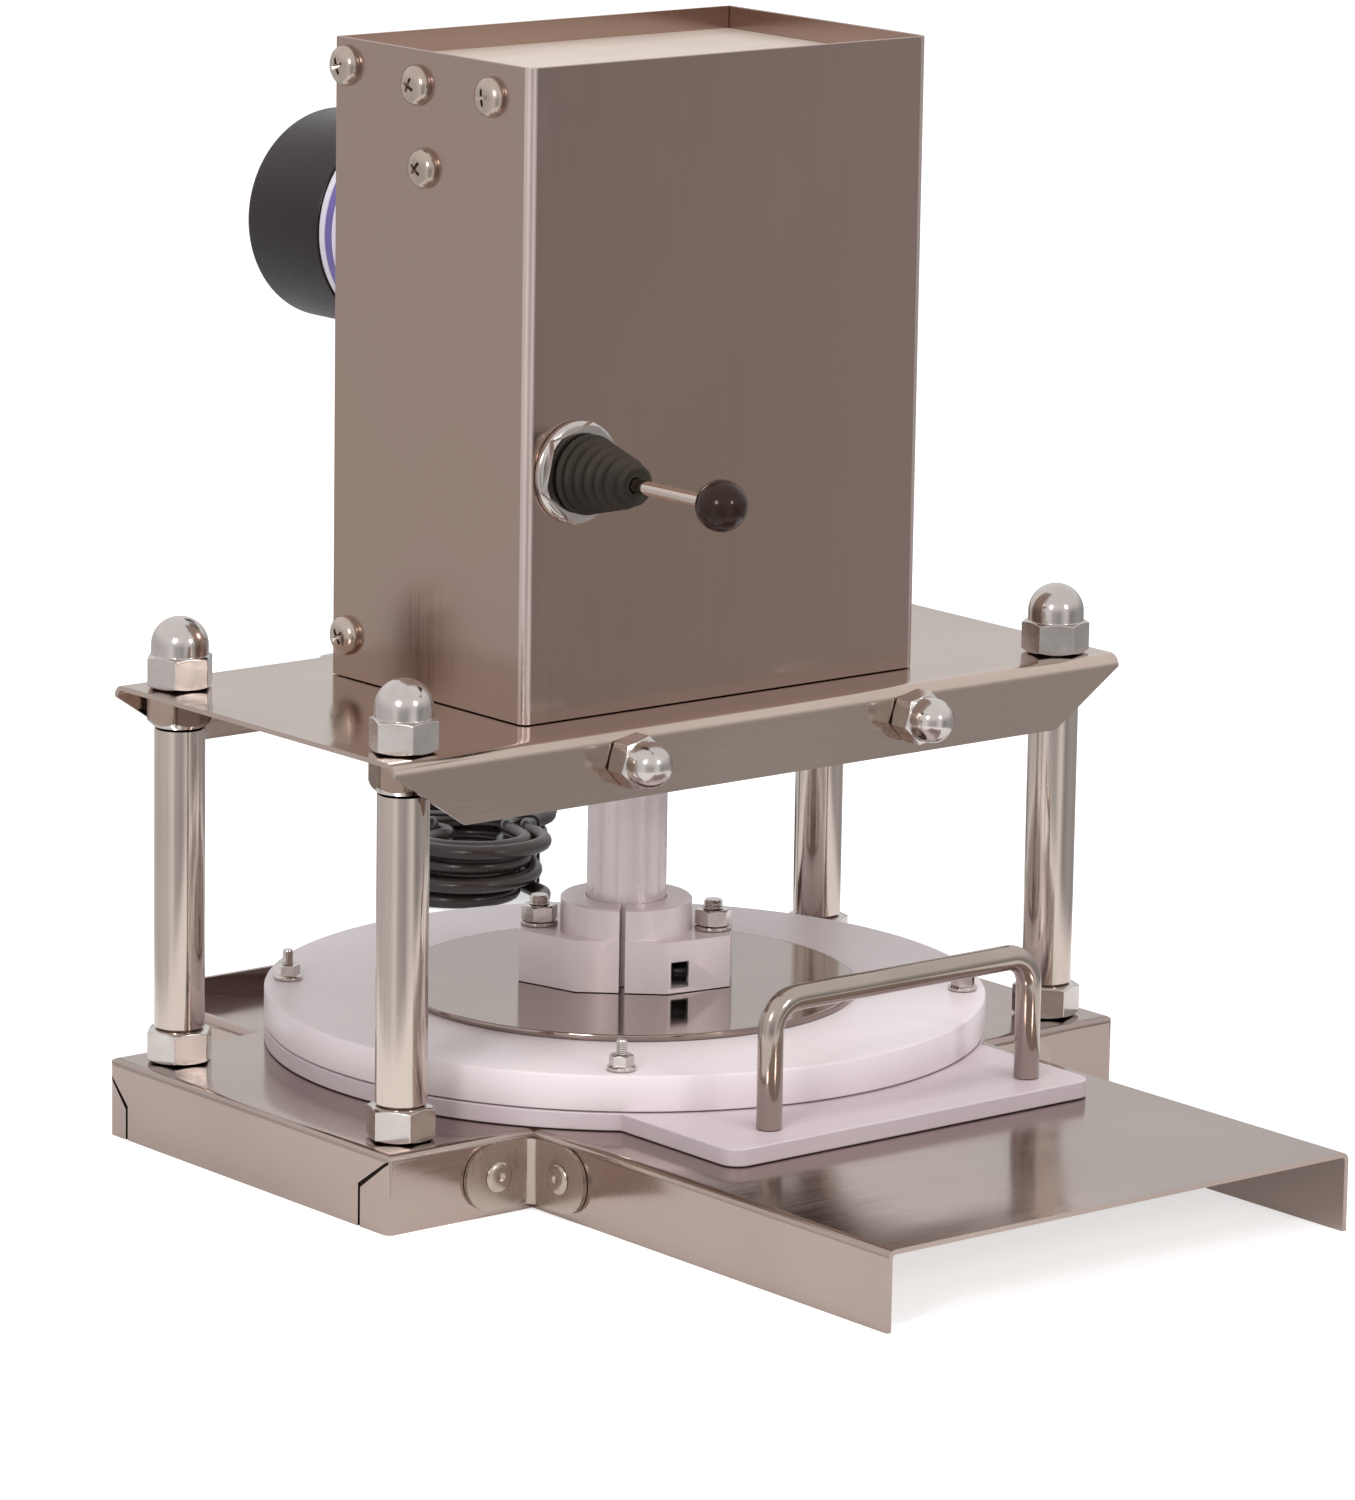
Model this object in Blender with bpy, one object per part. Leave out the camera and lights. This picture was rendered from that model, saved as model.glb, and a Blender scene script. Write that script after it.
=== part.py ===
"""Electric pizza dough press: a rack driven ram between a folded base and a motor housing.

Metres, +Z up. The press stands on Z = 0 and its front, with the joystick and the tray handle,
faces -Y. Pieces are drawn with Y = 0 halfway between the posts; one empty then moves the press
so that its footprint is centred on the origin.
"""

import math

import bmesh
import bpy
from mathutils import Matrix, Vector

MM = 0.001

# Gaps and cuts
SEAT_GAP = 0.3 * MM
RUNNING_GAP = 0.2 * MM
BORE_GAP = 0.3 * MM
OVERRUN = 4.0 * MM
HEXAGON_CORNER_SHARE = 1 / math.sqrt(3)

# Faceting, in steps per full turn
ROUND_STEPS = 20
WIDE_ROUND_STEPS = 48
SMALL_ROUND_STEPS = 8
NUT_STEPS = 12
DOME_STEPS = 4
BEND_STEPS = 2

# Base, folded from one sheet with a tongue at the front and at the rear
BASE_SHEET = 2.0 * MM
BASE_HALF_WIDTH = 186.2 * MM
BASE_HALF_DEPTH = 92.4 * MM
BASE_HEIGHT = 31.5 * MM
BASE_BEND = 3.5 * MM
TONGUE_HALF_WIDTH = 116.35 * MM
FRONT_TONGUE = 209.6 * MM
REAR_TONGUE = 57.6 * MM
REAR_LIP = 8.5 * MM
SEAM_WIDTH = 0.8 * MM
SEAM_FROM_CORNER = 22.0 * MM
SEAM_DROP = 12.0 * MM

# Riveted corner brackets
BRACKET_SHEET = 2.0 * MM
BRACKET_LEG = 33.5 * MM
BRACKET_HEIGHT = 26.0 * MM
BRACKET_CORNER = 12.5 * MM
RIVET_FROM_CORNER = 18.5 * MM
RIVET_RADIUS = 2.0 * MM
RIVET_HEAD_RADIUS = 6.0 * MM
RIVET_HEAD = 1.6 * MM
RIVET_RIM_SHARE = 0.3
RIVET_CROWN_SHARES = (0.7, 0.8)

# Posts and their nuts
POST_FROM_BASE_END = 20.5 * MM
POST_FROM_BASE_FRONT = 19.45 * MM
POST_RADIUS = 10.1 * MM
STUD_RADIUS = 8.0 * MM
POST_HEAD = 8.0 * MM
NUT_FLATS = 24.0 * MM
NUT_HEIGHT = 13.0 * MM
NUT_CHAMFER = 1.4 * MM
COLLAR_TAPER = 3.0 * MM
ACORN_HEX = 13.0 * MM
ACORN_DOME_RADIUS = 11.4 * MM
ACORN_HEIGHT = 28.0 * MM
ACORN_BORE = 20.0 * MM

# Top plate, a channel open at its two ends
PLATE_SHEET = 2.0 * MM
PLATE_BEYOND_POST_X = 18.1 * MM
PLATE_BEYOND_POST_Y = 18.85 * MM
PLATE_ABOVE_BASE = 151.5 * MM
PLATE_FLANGE = 27.3 * MM
PLATE_BEND = 5.0 * MM
FLANGE_CHAMFER = 33.5 * MM

# Tie bolts through the top plate's flanges
TIE_X = 71.8 * MM
TIE_BELOW_PLATE = 11.5 * MM
TIE_RADIUS = 6.0 * MM
TIE_FLATS = 19.0 * MM
TIE_HEAD = 8.0 * MM
TIE_NUT_HEX = 10.0 * MM
TIE_NUT_HEIGHT = 22.0 * MM
TIE_DOME_RADIUS = 9.0 * MM
TIE_NUT_BORE = 15.0 * MM

# Ram: a round column with a rack milled in its left side
RAM_Y = -3.4 * MM
COLUMN_RADIUS = 16.0 * MM
COLUMN_EDGE = 0.8 * MM
COLUMN_HEADROOM = 1.4 * MM
RAM_TRAVEL = 60.0 * MM
RACK_BEYOND_MESH = 14.5 * MM
GEAR_MODULE = 2.0 * MM
PINION_TOOTH_COUNT = 14
FLANK_STEPS = 3
PINION_WIDTH = 18.0 * MM
GEAR_BACKLASH = 0.5 * MM
PRESSURE_ANGLE = math.radians(20.0)
ADDENDUM_SHARE = 0.8
DEDENDUM_SHARE = 1.05
RACK_DEPTH_IN_COLUMN = 2.2 * MM

# Guide block and bush that carry the column in the top plate
GUIDE_BLOCK_HALF_WIDTH = 86.0 * MM
GUIDE_BLOCK_HALF_DEPTH = 28.0 * MM
GUIDE_BLOCK_HEIGHT = 23.0 * MM
BUSH_RADIUS = 21.0 * MM
BUSH_FLANGE_RADIUS = 29.0 * MM
BUSH_FLANGE = 5.0 * MM
BUSH_ABOVE_PLATE = 34.0 * MM

# Pressing plates
TRAY_SHEET = 7.0 * MM
TRAY_BEYOND_DIE = 0.05 * MM
TRAY_TAB_HALF_WIDTH = 92.0 * MM
TRAY_TAB_BEYOND_HANDLE = 17.5 * MM
TRAY_TAB_CORNER = 8.0 * MM
DIE_FROM_POST_LINE = 20.35 * MM
DIE_THICKNESS = 14.4 * MM
DIE_EDGE = 1.0 * MM
PRESSED_GAP = 0.5 * MM
DISC_RADIUS = 93.5 * MM
DISC_THICKNESS = 2.5 * MM
STOP_FROM_DIE_EDGE = 9.35 * MM
STOP_STUD_RADIUS = 2.25 * MM
STOP_NUT_RADIUS = 5.8 * MM
STOP_HEIGHT = 12.0 * MM
STOP_FLANGE_SHARE = 1 / 6
STOP_NUT_SHARE = 1 / 2
STOP_NECK_SHARES = (0.8, 1.4)
STOP_TURN = math.radians(-129.35)

# Clamp hub that grips the column's foot
HUB_TURN = math.radians(-42.0)
HUB_BOSS_RADIUS = 26.5 * MM
HUB_BLOCK_HEIGHT = 21.0 * MM
HUB_BOSS_HEIGHT = 34.0 * MM
HUB_FACET_HALF = 18.5 * MM
HUB_HALF_DEPTH = 27.0 * MM
HUB_WING_HALF = 42.5 * MM
HUB_WING_END_HALF = 11.0 * MM
HUB_SLIT = 2.4 * MM
HUB_POCKET_START = 19.6 * MM
HUB_POCKET_WIDTH = 6.9 * MM
HUB_POCKET_DEPTH = 13.0 * MM
HUB_POCKET_LOW = 2.0 * MM
HUB_POCKET_HEIGHT = 10.7 * MM
HUB_BOLT_X = 35.0 * MM
HUB_BOLT_RADIUS = 4.0 * MM
HUB_BOLT_FLATS = 13.0 * MM
HUB_BOLT_NUT = 8.0 * MM
HUB_BOLT_TIP = 4.0 * MM
HUB_BOLT_IN_DIE = 8.0 * MM

# Tray handle, bent from round bar
HANDLE_X = 65.8 * MM
HANDLE_OFFSET = 5.6 * MM
HANDLE_FROM_DIE = 17.75 * MM
HANDLE_RADIUS = 5.0 * MM
HANDLE_HEIGHT = 55.0 * MM
HANDLE_BEND = 12.0 * MM
HANDLE_BEND_STEPS = 5
HANDLE_STUD_RADIUS = 3.0 * MM
HANDLE_STUD = 5.0 * MM

# Motor housing
HOUSING_CENTRE_X = -2.3 * MM
HOUSING_HALF_WIDTH = 99.5 * MM
HOUSING_FRONT = -64.6 * MM
HOUSING_BACK = 58.3 * MM
HOUSING_SHEET = 1.5 * MM
HOUSING_CORNER = 3.5 * MM
HOUSING_LIFT = 1.5 * MM
HOUSING_TOP_ABOVE_AXIS = 91.2 * MM
LID_RECESS = 9.0 * MM
LID_STEP_Y = -10.0 * MM
LID_FLANGE = 14.0 * MM
LID_LAP = 6.0 * MM
BACK_FLANGE = 18.0 * MM
SHAFT_HOLE_RADIUS = 13.0 * MM

# Bearing plate inside the housing
BEARING_PLATE_SHEET = 3.0 * MM
BEARING_PLATE_BACK = -21.0 * MM
BEARING_PLATE_BELOW_AXIS = 24.5 * MM
BEARING_PLATE_ABOVE_AXIS = 53.5 * MM
BEARING_PLATE_FLANGE = 36.0 * MM

# Gear motor on the back of the housing
AXIS_ABOVE_BASE = 314.5 * MM
SHAFT_RADIUS = 8.0 * MM
SHAFT_FRONT = 4.0 * MM
GEARBOX_SHAFT_OFFSET = 18.0 * MM
GEARBOX_HALF = 44.0 * MM
GEARBOX_CORNER = 9.0 * MM
GEARBOX_DEPTH = 38.0 * MM
MOTOR_BODY_RADIUS = 42.6 * MM
MOTOR_BODY_DEPTH = 39.0 * MM
MOTOR_CAP_RADIUS = 43.3 * MM
MOTOR_CAP_DEPTH = 49.2 * MM
MOTOR_CAP_EDGE = 5.0 * MM

# Joystick on the front wall
STICK_X = -77.9 * MM
STICK_ABOVE_BASE = 248.9 * MM
STICK_HOLE_RADIUS = 11.0 * MM
STICK_NECK = 7.0 * MM
STICK_NUT_RADIUS = 20.0 * MM
STICK_NUT = 6.4 * MM
STICK_NUT_RIM_SHARES = (0.9, 0.6)
STICK_BODY_HALF = 15.0 * MM
STICK_BODY_CORNER = 3.0 * MM
STICK_BODY_DEPTH = 34.0 * MM
STICK_SOCKET_RADIUS = 6.5 * MM
STICK_SOCKET_MOUTH = 9.0 * MM
STICK_SOCKET_STEPS = 6
STICK_BALL_RADIUS = 6.0 * MM
STICK_BALL_STEPS = 5
STICK_LEVER_RADIUS = 2.8 * MM
STICK_KNOB_RADIUS = 10.0 * MM
STICK_KNOB_OUT = 88.4 * MM
STICK_KNOB_STEPS = 12
BOOT_BASE_RADIUS = 15.6 * MM
BOOT_TIP_RADIUS = 7.6 * MM
BOOT_TIP_OUT = 38.0 * MM
BOOT_WALL = 1.6 * MM
BOOT_RIB = 1.5 * MM
BOOT_RIB_COUNT = 5
BOOT_CREST_SHARE = 0.35
BOOT_GROOVE_SHARE = 0.85
BOOT_THROAT = 4.8 * MM

# Top limit switch on the bearing plate
SWITCH_WIDTH = 28.0 * MM
SWITCH_DEPTH = 10.0 * MM
SWITCH_HEIGHT = 18.0 * MM
SWITCH_ABOVE_AXIS = 6.0 * MM
SWITCH_LEVER = 5.0 * MM
SWITCH_LEVER_SHEET = 1.2 * MM

# Mains cord
CORD_RADIUS = 3.5 * MM
GLAND_X = 75.0 * MM
GLAND_ABOVE_BASE = 185.0 * MM
GLAND_RADIUS = 9.5 * MM
GLAND_NECK_RADIUS = 7.0 * MM
GLAND_OUT = 20.0 * MM
GLAND_IN = 7.0 * MM
GLAND_FLANGE_SHARE = 1 / 3
GLAND_TAPER_SHARE = 1 / 4
GLAND_MOUTH_SHARE = 1.4
CORD_SPACING_SHARE = 4.8
TAIL_SPACING_SHARE = 4.0
HANK_CENTRE = Vector((196.2 * MM, 356.3 * MM, 0.0))
HANK_TURN = math.radians(50.65)
HANK_RUN_HALF = 24.0 * MM
HANK_INNER_RADIUS = 21.5 * MM
HANK_PITCH = 8.7 * MM
HANK_LAYER = 7.7 * MM
HANK_LEAN = 2.3 * MM
HANK_LAYER_COUNT = 4
HANK_TURN_COUNT = 1.5
HANK_LOOP_STEPS = 24
HANK_WAIST = 11.0 * MM
HANK_WAIST_HALF = 17.0 * MM
HANK_END_SHARE = 0.07
HANK_QUARTER_SHARE = 0.25
HANK_CLIMB_SHARE = 0.5
TIE_BAND = 7.0 * MM
TIE_BAND_SHEET = 1.4 * MM
TIE_BAND_GAP = 1.3 * MM
PLUG_HALF_WIDTH = 14.0 * MM
PLUG_HALF_HEIGHT = 9.0 * MM
PLUG_LENGTH = 38.0 * MM
PLUG_EDGE = 4.0 * MM
PIN_RADIUS = 2.0 * MM
PIN_LENGTH = 17.0 * MM
PIN_SPACING = 9.5 * MM
PLUG_LENGTH_SHARES = (0.0, 0.18, 0.5, 1.0)
PLUG_SIZE_SHARES = (0.42, 0.6, 1.0, 1.0)

# Route of the cord from the gland to the hank, and on from the hank's own frame to the plug
LEAD_ROUTE = [
    (76.0 * MM, 97.0 * MM, 214.5 * MM),
    (82.0 * MM, 116.0 * MM, 199.0 * MM),
    (94.0 * MM, 130.0 * MM, 168.0 * MM),
    (108.0 * MM, 137.0 * MM, 128.0 * MM),
    (118.0 * MM, 140.0 * MM, 88.0 * MM),
    (124.0 * MM, 143.0 * MM, 52.0 * MM),
    (130.0 * MM, 152.0 * MM, 22.0 * MM),
    (139.0 * MM, 168.0 * MM, 6.5 * MM),
    (149.0 * MM, 189.0 * MM, 3.9 * MM),
    (158.0 * MM, 217.0 * MM, 3.9 * MM),
    (167.0 * MM, 247.0 * MM, 3.9 * MM),
    (180.0 * MM, 276.5 * MM, 3.9 * MM),
    (191.5 * MM, 297.5 * MM, 3.9 * MM),
]
TAIL_ROUTE = [
    (40.0 * MM, -37.0 * MM, 25.6 * MM),
    (58.0 * MM, -37.2 * MM, 21.5 * MM),
    (73.0 * MM, -34.0 * MM, 15.5 * MM),
    (84.0 * MM, -27.0 * MM, 11.0 * MM),
    (91.0 * MM, -18.5 * MM, 9.4 * MM),
    (95.0 * MM, -12.5 * MM, 9.3 * MM),
]

# Places worked out from the sizes above
BASE_TOP = BASE_HEIGHT
POST_X = BASE_HALF_WIDTH - POST_FROM_BASE_END
POST_Y = BASE_HALF_DEPTH - POST_FROM_BASE_FRONT
PLATE_HALF_WIDTH = POST_X + PLATE_BEYOND_POST_X
PLATE_HALF_DEPTH = POST_Y + PLATE_BEYOND_POST_Y
PLATE_TOP = BASE_TOP + PLATE_ABOVE_BASE
PLATE_BOTTOM = PLATE_TOP - PLATE_SHEET
TRAY_TOP = BASE_TOP + SEAT_GAP + TRAY_SHEET
DIE_BOTTOM = TRAY_TOP + PRESSED_GAP
DIE_RADIUS = POST_X - DIE_FROM_POST_LINE
TRAY_RADIUS = DIE_RADIUS + TRAY_BEYOND_DIE
STOP_CIRCLE = DIE_RADIUS - STOP_FROM_DIE_EDGE
HANDLE_Y = DIE_RADIUS + HANDLE_FROM_DIE - RAM_Y
TRAY_TAB_FRONT = HANDLE_Y + TRAY_TAB_BEYOND_HANDLE
DIE_TOP = DIE_BOTTOM + DIE_THICKNESS
DISC_TOP = DIE_TOP + SEAT_GAP + DISC_THICKNESS
HUB_BOTTOM = DISC_TOP + SEAT_GAP
HOUSING_LOW = PLATE_TOP + HOUSING_LIFT
AXIS_Z = BASE_TOP + AXIS_ABOVE_BASE
HOUSING_TOP = AXIS_Z + HOUSING_TOP_ABOVE_AXIS
LID_TOP = HOUSING_TOP - LID_RECESS
LID_UNDERSIDE = LID_TOP - 2 * HOUSING_SHEET - SEAT_GAP
COLUMN_TOP = LID_UNDERSIDE - RAM_TRAVEL - COLUMN_HEADROOM
INNER_LEFT = HOUSING_CENTRE_X - HOUSING_HALF_WIDTH + HOUSING_SHEET + SEAT_GAP
INNER_RIGHT = HOUSING_CENTRE_X + HOUSING_HALF_WIDTH - HOUSING_SHEET - SEAT_GAP
RACK_LOW = AXIS_Z - RAM_TRAVEL - RACK_BEYOND_MESH
RACK_HIGH = AXIS_Z + RACK_BEYOND_MESH
PINION_PITCH_RADIUS = GEAR_MODULE * PINION_TOOTH_COUNT / 2
TOOTH_PITCH = math.pi * GEAR_MODULE
RACK_PITCH_X = -COLUMN_RADIUS + RACK_DEPTH_IN_COLUMN
SHAFT_X = RACK_PITCH_X - PINION_PITCH_RADIUS
MOTOR_X = SHAFT_X + GEARBOX_SHAFT_OFFSET
GEARBOX_FRONT = HOUSING_BACK + SEAT_GAP
MOTOR_BODY_FRONT = GEARBOX_FRONT + GEARBOX_DEPTH + SEAT_GAP
MOTOR_CAP_FRONT = MOTOR_BODY_FRONT + MOTOR_BODY_DEPTH + SEAT_GAP
PRESS_BACK = MOTOR_CAP_FRONT + MOTOR_CAP_DEPTH
PRESS_FRONT = -BASE_HALF_DEPTH - FRONT_TONGUE
STICK_Z = BASE_TOP + STICK_ABOVE_BASE
STICK_PIVOT_Y = HOUSING_FRONT - STICK_NECK + STICK_BALL_RADIUS
GLAND_Z = BASE_TOP + GLAND_ABOVE_BASE
GLAND_END = HOUSING_BACK + GLAND_OUT
HANK_OUTER_RADIUS = HANK_INNER_RADIUS + HANK_TURN_COUNT * HANK_PITCH


# Scene and materials

def clear_scene():
    for item in list(bpy.data.objects):
        bpy.data.objects.remove(item, do_unlink=True)


def make_material(name, colour, metallic, roughness):
    material = bpy.data.materials.new(name)
    material.use_nodes = True
    shader = material.node_tree.nodes["Principled BSDF"]
    shader.inputs["Base Color"].default_value = (*colour, 1.0)
    shader.inputs["Metallic"].default_value = metallic
    shader.inputs["Roughness"].default_value = roughness
    material.diffuse_color = (*colour, 1.0)
    return material


FINISHES = {
    "steel": ((0.60, 0.57, 0.54), 1.0, 0.30),
    "plate": ((0.42, 0.37, 0.33), 1.0, 0.35),
    "bright": ((0.72, 0.71, 0.70), 1.0, 0.12),
    "alloy": ((0.70, 0.66, 0.66), 1.0, 0.38),
    "white": ((0.86, 0.80, 0.84), 0.0, 0.45),
    "black": ((0.02, 0.02, 0.02), 0.0, 0.35),
    "boot": ((0.07, 0.065, 0.055), 0.0, 0.60),
    "knob": ((0.03, 0.015, 0.01), 0.0, 0.12),
    "cord": ((0.012, 0.012, 0.014), 0.0, 0.22),
}


def new_object(name, mesh):
    item = bpy.data.objects.new(name, mesh)
    bpy.context.scene.collection.objects.link(item)
    return item


def from_bmesh(name, shape):
    bmesh.ops.recalc_face_normals(shape, faces=shape.faces)
    mesh = bpy.data.meshes.new(name)
    shape.to_mesh(mesh)
    shape.free()
    return new_object(name, mesh)


def make_empty(name, place, parent=None):
    empty = bpy.data.objects.new(name, None)
    bpy.context.scene.collection.objects.link(empty)
    empty.location = place
    empty.parent = parent
    return empty


def finish(item, finish_name, carrier, smooth=True):
    """Give the piece its own material and hang it on its carrier without moving its shape."""
    colour, metallic, roughness = FINISHES[finish_name]
    item.data.materials.clear()
    item.data.materials.append(make_material(item.name, colour, metallic, roughness))
    if smooth and item.type == "MESH":
        item.data.shade_smooth()
        item.data.set_sharp_from_angle(angle=math.radians(35.0))
    carrier_empty, axis_place = carrier
    item.parent = carrier_empty
    item.location = item.location - axis_place
    return item


# Outlines

def circle(radius, steps, centre=(0.0, 0.0)):
    turns = [2 * math.pi * step / steps for step in range(steps)]
    return [(centre[0] + radius * math.cos(a), centre[1] + radius * math.sin(a)) for a in turns]


def arc(centre, radius, start, end, steps):
    turns = [start + (end - start) * step / steps for step in range(steps + 1)]
    return [(centre[0] + radius * math.cos(a), centre[1] + radius * math.sin(a)) for a in turns]


def rectangle(left, right, low, high):
    return [(left, low), (right, low), (right, high), (left, high)]


def rounded_rectangle(left, right, low, high, corner, steps=BEND_STEPS):
    quarter = math.pi / 2
    centres = [(right - corner, low + corner), (right - corner, high - corner),
               (left + corner, high - corner), (left + corner, low + corner)]
    points = []
    for number, centre in enumerate(centres):
        start = (number - 1) * quarter
        points += arc(centre, corner, start, start + quarter, steps)
    return points


def hexagon(flats):
    return circle(flats * HEXAGON_CORNER_SHARE, 6)


def inset(outline, distances):
    """Move each edge of a counter-clockwise outline inwards by its own distance."""
    lines = []
    for number, start in enumerate(outline):
        end = outline[(number + 1) % len(outline)]
        along = Vector((end[0] - start[0], end[1] - start[1])).normalized()
        inwards = Vector((-along.y, along.x))
        lines.append((Vector(start) + inwards * distances[number], along))
    points = []
    for number, (place, along) in enumerate(lines):
        before_place, before = lines[number - 1]
        cross = before.x * along.y - before.y * along.x
        offset = place - before_place
        reach = (offset.x * along.y - offset.y * along.x) / cross
        points.append(tuple(before_place + before * reach))
    return points


# Solids

def on_axis(axis, first, second, along):
    """Outlines lie in X,Y for axis Z, in X,Z for axis Y and in Y,Z for axis X."""
    return {"Z": (first, second, along), "Y": (first, along, second), "X": (along, first, second)}[axis]


def loft(name, rings):
    """Join rings of equal length into one closed body with flat ends."""
    shape = bmesh.new()
    rows = [[shape.verts.new(point) for point in ring] for ring in rings]
    for lower, upper in zip(rows, rows[1:]):
        for number in range(len(lower)):
            after = (number + 1) % len(lower)
            shape.faces.new((lower[number], lower[after], upper[after], upper[number]))
    shape.faces.new(reversed(rows[0]))
    shape.faces.new(rows[-1])
    return from_bmesh(name, shape)


def prism(name, outline, low, high, axis="Z"):
    return loft(name, [[on_axis(axis, a, b, level) for a, b in outline] for level in (low, high)])


def box(name, x, y, z):
    return prism(name, rectangle(*x, *y), *z)


def cylinder(name, radius, low, high, centre=(0.0, 0.0), axis="Z", steps=ROUND_STEPS):
    return prism(name, circle(radius, steps, centre), low, high, axis)


def turned(name, profile, centre=(0.0, 0.0), axis="Z", steps=ROUND_STEPS, ring=False):
    """Turn (radius, height) points about an axis; a ring's profile closes on itself."""
    shape = bmesh.new()
    rows = []
    for radius, height in profile:
        if radius == 0:
            rows.append([shape.verts.new(on_axis(axis, *centre, height))])
        else:
            rows.append([shape.verts.new(on_axis(axis, a, b, height))
                         for a, b in circle(radius, steps, centre)])
    pairs = list(zip(rows, rows[1:] + rows[:1])) if ring else list(zip(rows, rows[1:]))
    for lower, upper in pairs:
        for number in range(steps):
            after = (number + 1) % steps
            corners = [lower[number % len(lower)], lower[after % len(lower)],
                       upper[after % len(upper)], upper[number % len(upper)]]
            unique = list(dict.fromkeys(corners))
            if len(unique) > 2:
                shape.faces.new(unique)
    return from_bmesh(name, shape)


def combine(item, other, operation):
    modifier = item.modifiers.new("combine", "BOOLEAN")
    modifier.solver = "EXACT"
    modifier.operation = operation
    modifier.object = other
    bpy.context.view_layer.update()
    shape = item.evaluated_get(bpy.context.evaluated_depsgraph_get())
    mesh = bpy.data.meshes.new_from_object(shape)
    mesh.name = item.name
    item.modifiers.clear()
    item.data = mesh
    bpy.data.objects.remove(other, do_unlink=True)
    return item


def cut(item, *cutters):
    for cutter in cutters:
        combine(item, cutter, "DIFFERENCE")
    return item


def join(item, *others):
    for other in others:
        combine(item, other, "UNION")
    return item


def copy_to(name, item, place, turn=0.0):
    """Copy a piece drawn at the origin to its place, turned about Z."""
    mesh = item.data.copy()
    mesh.transform(Matrix.Translation(place) @ Matrix.Rotation(turn, 4, "Z"))
    return new_object(name, mesh)


def chamfered_hexagon(name, flats, low, high, chamfer, axis="Z", centre=(0.0, 0.0)):
    """A hexagon whose two ends are turned down to a circle."""
    corner = flats * HEXAGON_CORNER_SHARE
    outline = [(centre[0] + a, centre[1] + b) for a, b in hexagon(flats)]
    nut = prism(name, outline, low, high, axis)
    drop = (corner - flats / 2 + chamfer) / 2
    profile = [(0, low - OVERRUN), (flats / 2 - chamfer / 2, low - OVERRUN),
               (flats / 2 - chamfer / 2, low), (corner + chamfer, low + drop),
               (corner + chamfer, high - drop), (flats / 2 - chamfer / 2, high),
               (flats / 2 - chamfer / 2, high + OVERRUN), (0, high + OVERRUN)]
    keep = turned("keep", profile, centre, axis, NUT_STEPS)
    return combine(nut, keep, "INTERSECT")


def dome_profile(base, radius, height):
    """Points of a dome that rises straight from its base and closes as part of a ball."""
    centre = height - radius
    points = [(radius, base)]
    for step in range(DOME_STEPS):
        turn = math.pi / 2 * step / DOME_STEPS
        points.append((radius * math.cos(turn), centre + radius * math.sin(turn)))
    return points + [(0, height)]


def ball_profile(centre, radius, steps):
    turns = [math.pi * step / steps for step in range(1, steps)]
    side = [(radius * math.sin(turn), centre - radius * math.cos(turn)) for turn in turns]
    return [(0, centre - radius)] + side + [(0, centre + radius)]


def folded(name, outline, flanged, low, high, sheet, bend):
    """A sheet folded down along the flanged edges of its outline and open at the others."""
    def levels(bottom, top, spare, reach, radius):
        rings = [(bottom, 0.0), (top - radius, 0.0)]
        for step in range(1, BEND_STEPS + 1):
            turn = math.pi / 2 * step / BEND_STEPS
            rings.append((top - radius + radius * math.sin(turn), radius * (1 - math.cos(turn))))
        result = []
        for level, extra in rings:
            moved = inset(outline, [spare + extra if edge else reach for edge in flanged])
            result.append([(x, y, level) for x, y in moved])
        return result
    outside = loft(name, levels(low, high, 0.0, 0.0, bend))
    inside = loft("inside", levels(low - OVERRUN, high - sheet, sheet, -OVERRUN, bend - sheet))
    return cut(outside, inside)


# Curves

def smooth_route(points, spacing):
    """Read points at an even spacing from a Catmull-Rom curve through the route's points."""
    places = [Vector(point) for point in points]
    ends = [places[0] * 2 - places[1], *places, places[-1] * 2 - places[-2]]
    fine = []
    for number in range(1, len(ends) - 2):
        p0, p1, p2, p3 = ends[number - 1:number + 3]
        for step in range(WIDE_ROUND_STEPS):
            t = step / WIDE_ROUND_STEPS
            fine.append(0.5 * (2 * p1 + (p2 - p0) * t + (2 * p0 - 5 * p1 + 4 * p2 - p3) * t ** 2
                               + (3 * p1 - p0 - 3 * p2 + p3) * t ** 3))
    fine.append(places[-1])
    lengths = [0.0]
    for before, after in zip(fine, fine[1:]):
        lengths.append(lengths[-1] + (after - before).length)
    count = max(2, round(lengths[-1] / spacing))
    route = []
    number = 0
    for step in range(count + 1):
        wanted = lengths[-1] * step / count
        while number < len(fine) - 2 and lengths[number + 1] < wanted:
            number += 1
        share = (wanted - lengths[number]) / (lengths[number + 1] - lengths[number])
        route.append(fine[number].lerp(fine[number + 1], share))
    return route


def cord_tube(name, points, radius, resolution):
    curve = bpy.data.curves.new(name, "CURVE")
    curve.dimensions = "3D"
    curve.bevel_depth = radius
    curve.bevel_resolution = resolution
    curve.use_fill_caps = True
    curve.render_resolution_u = 0
    spline = curve.splines.new("POLY")
    spline.points.add(len(points) - 1)
    for place, point in zip(points, spline.points):
        point.co = (*place, 1.0)
    return new_object(name, curve)


# Base

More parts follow.
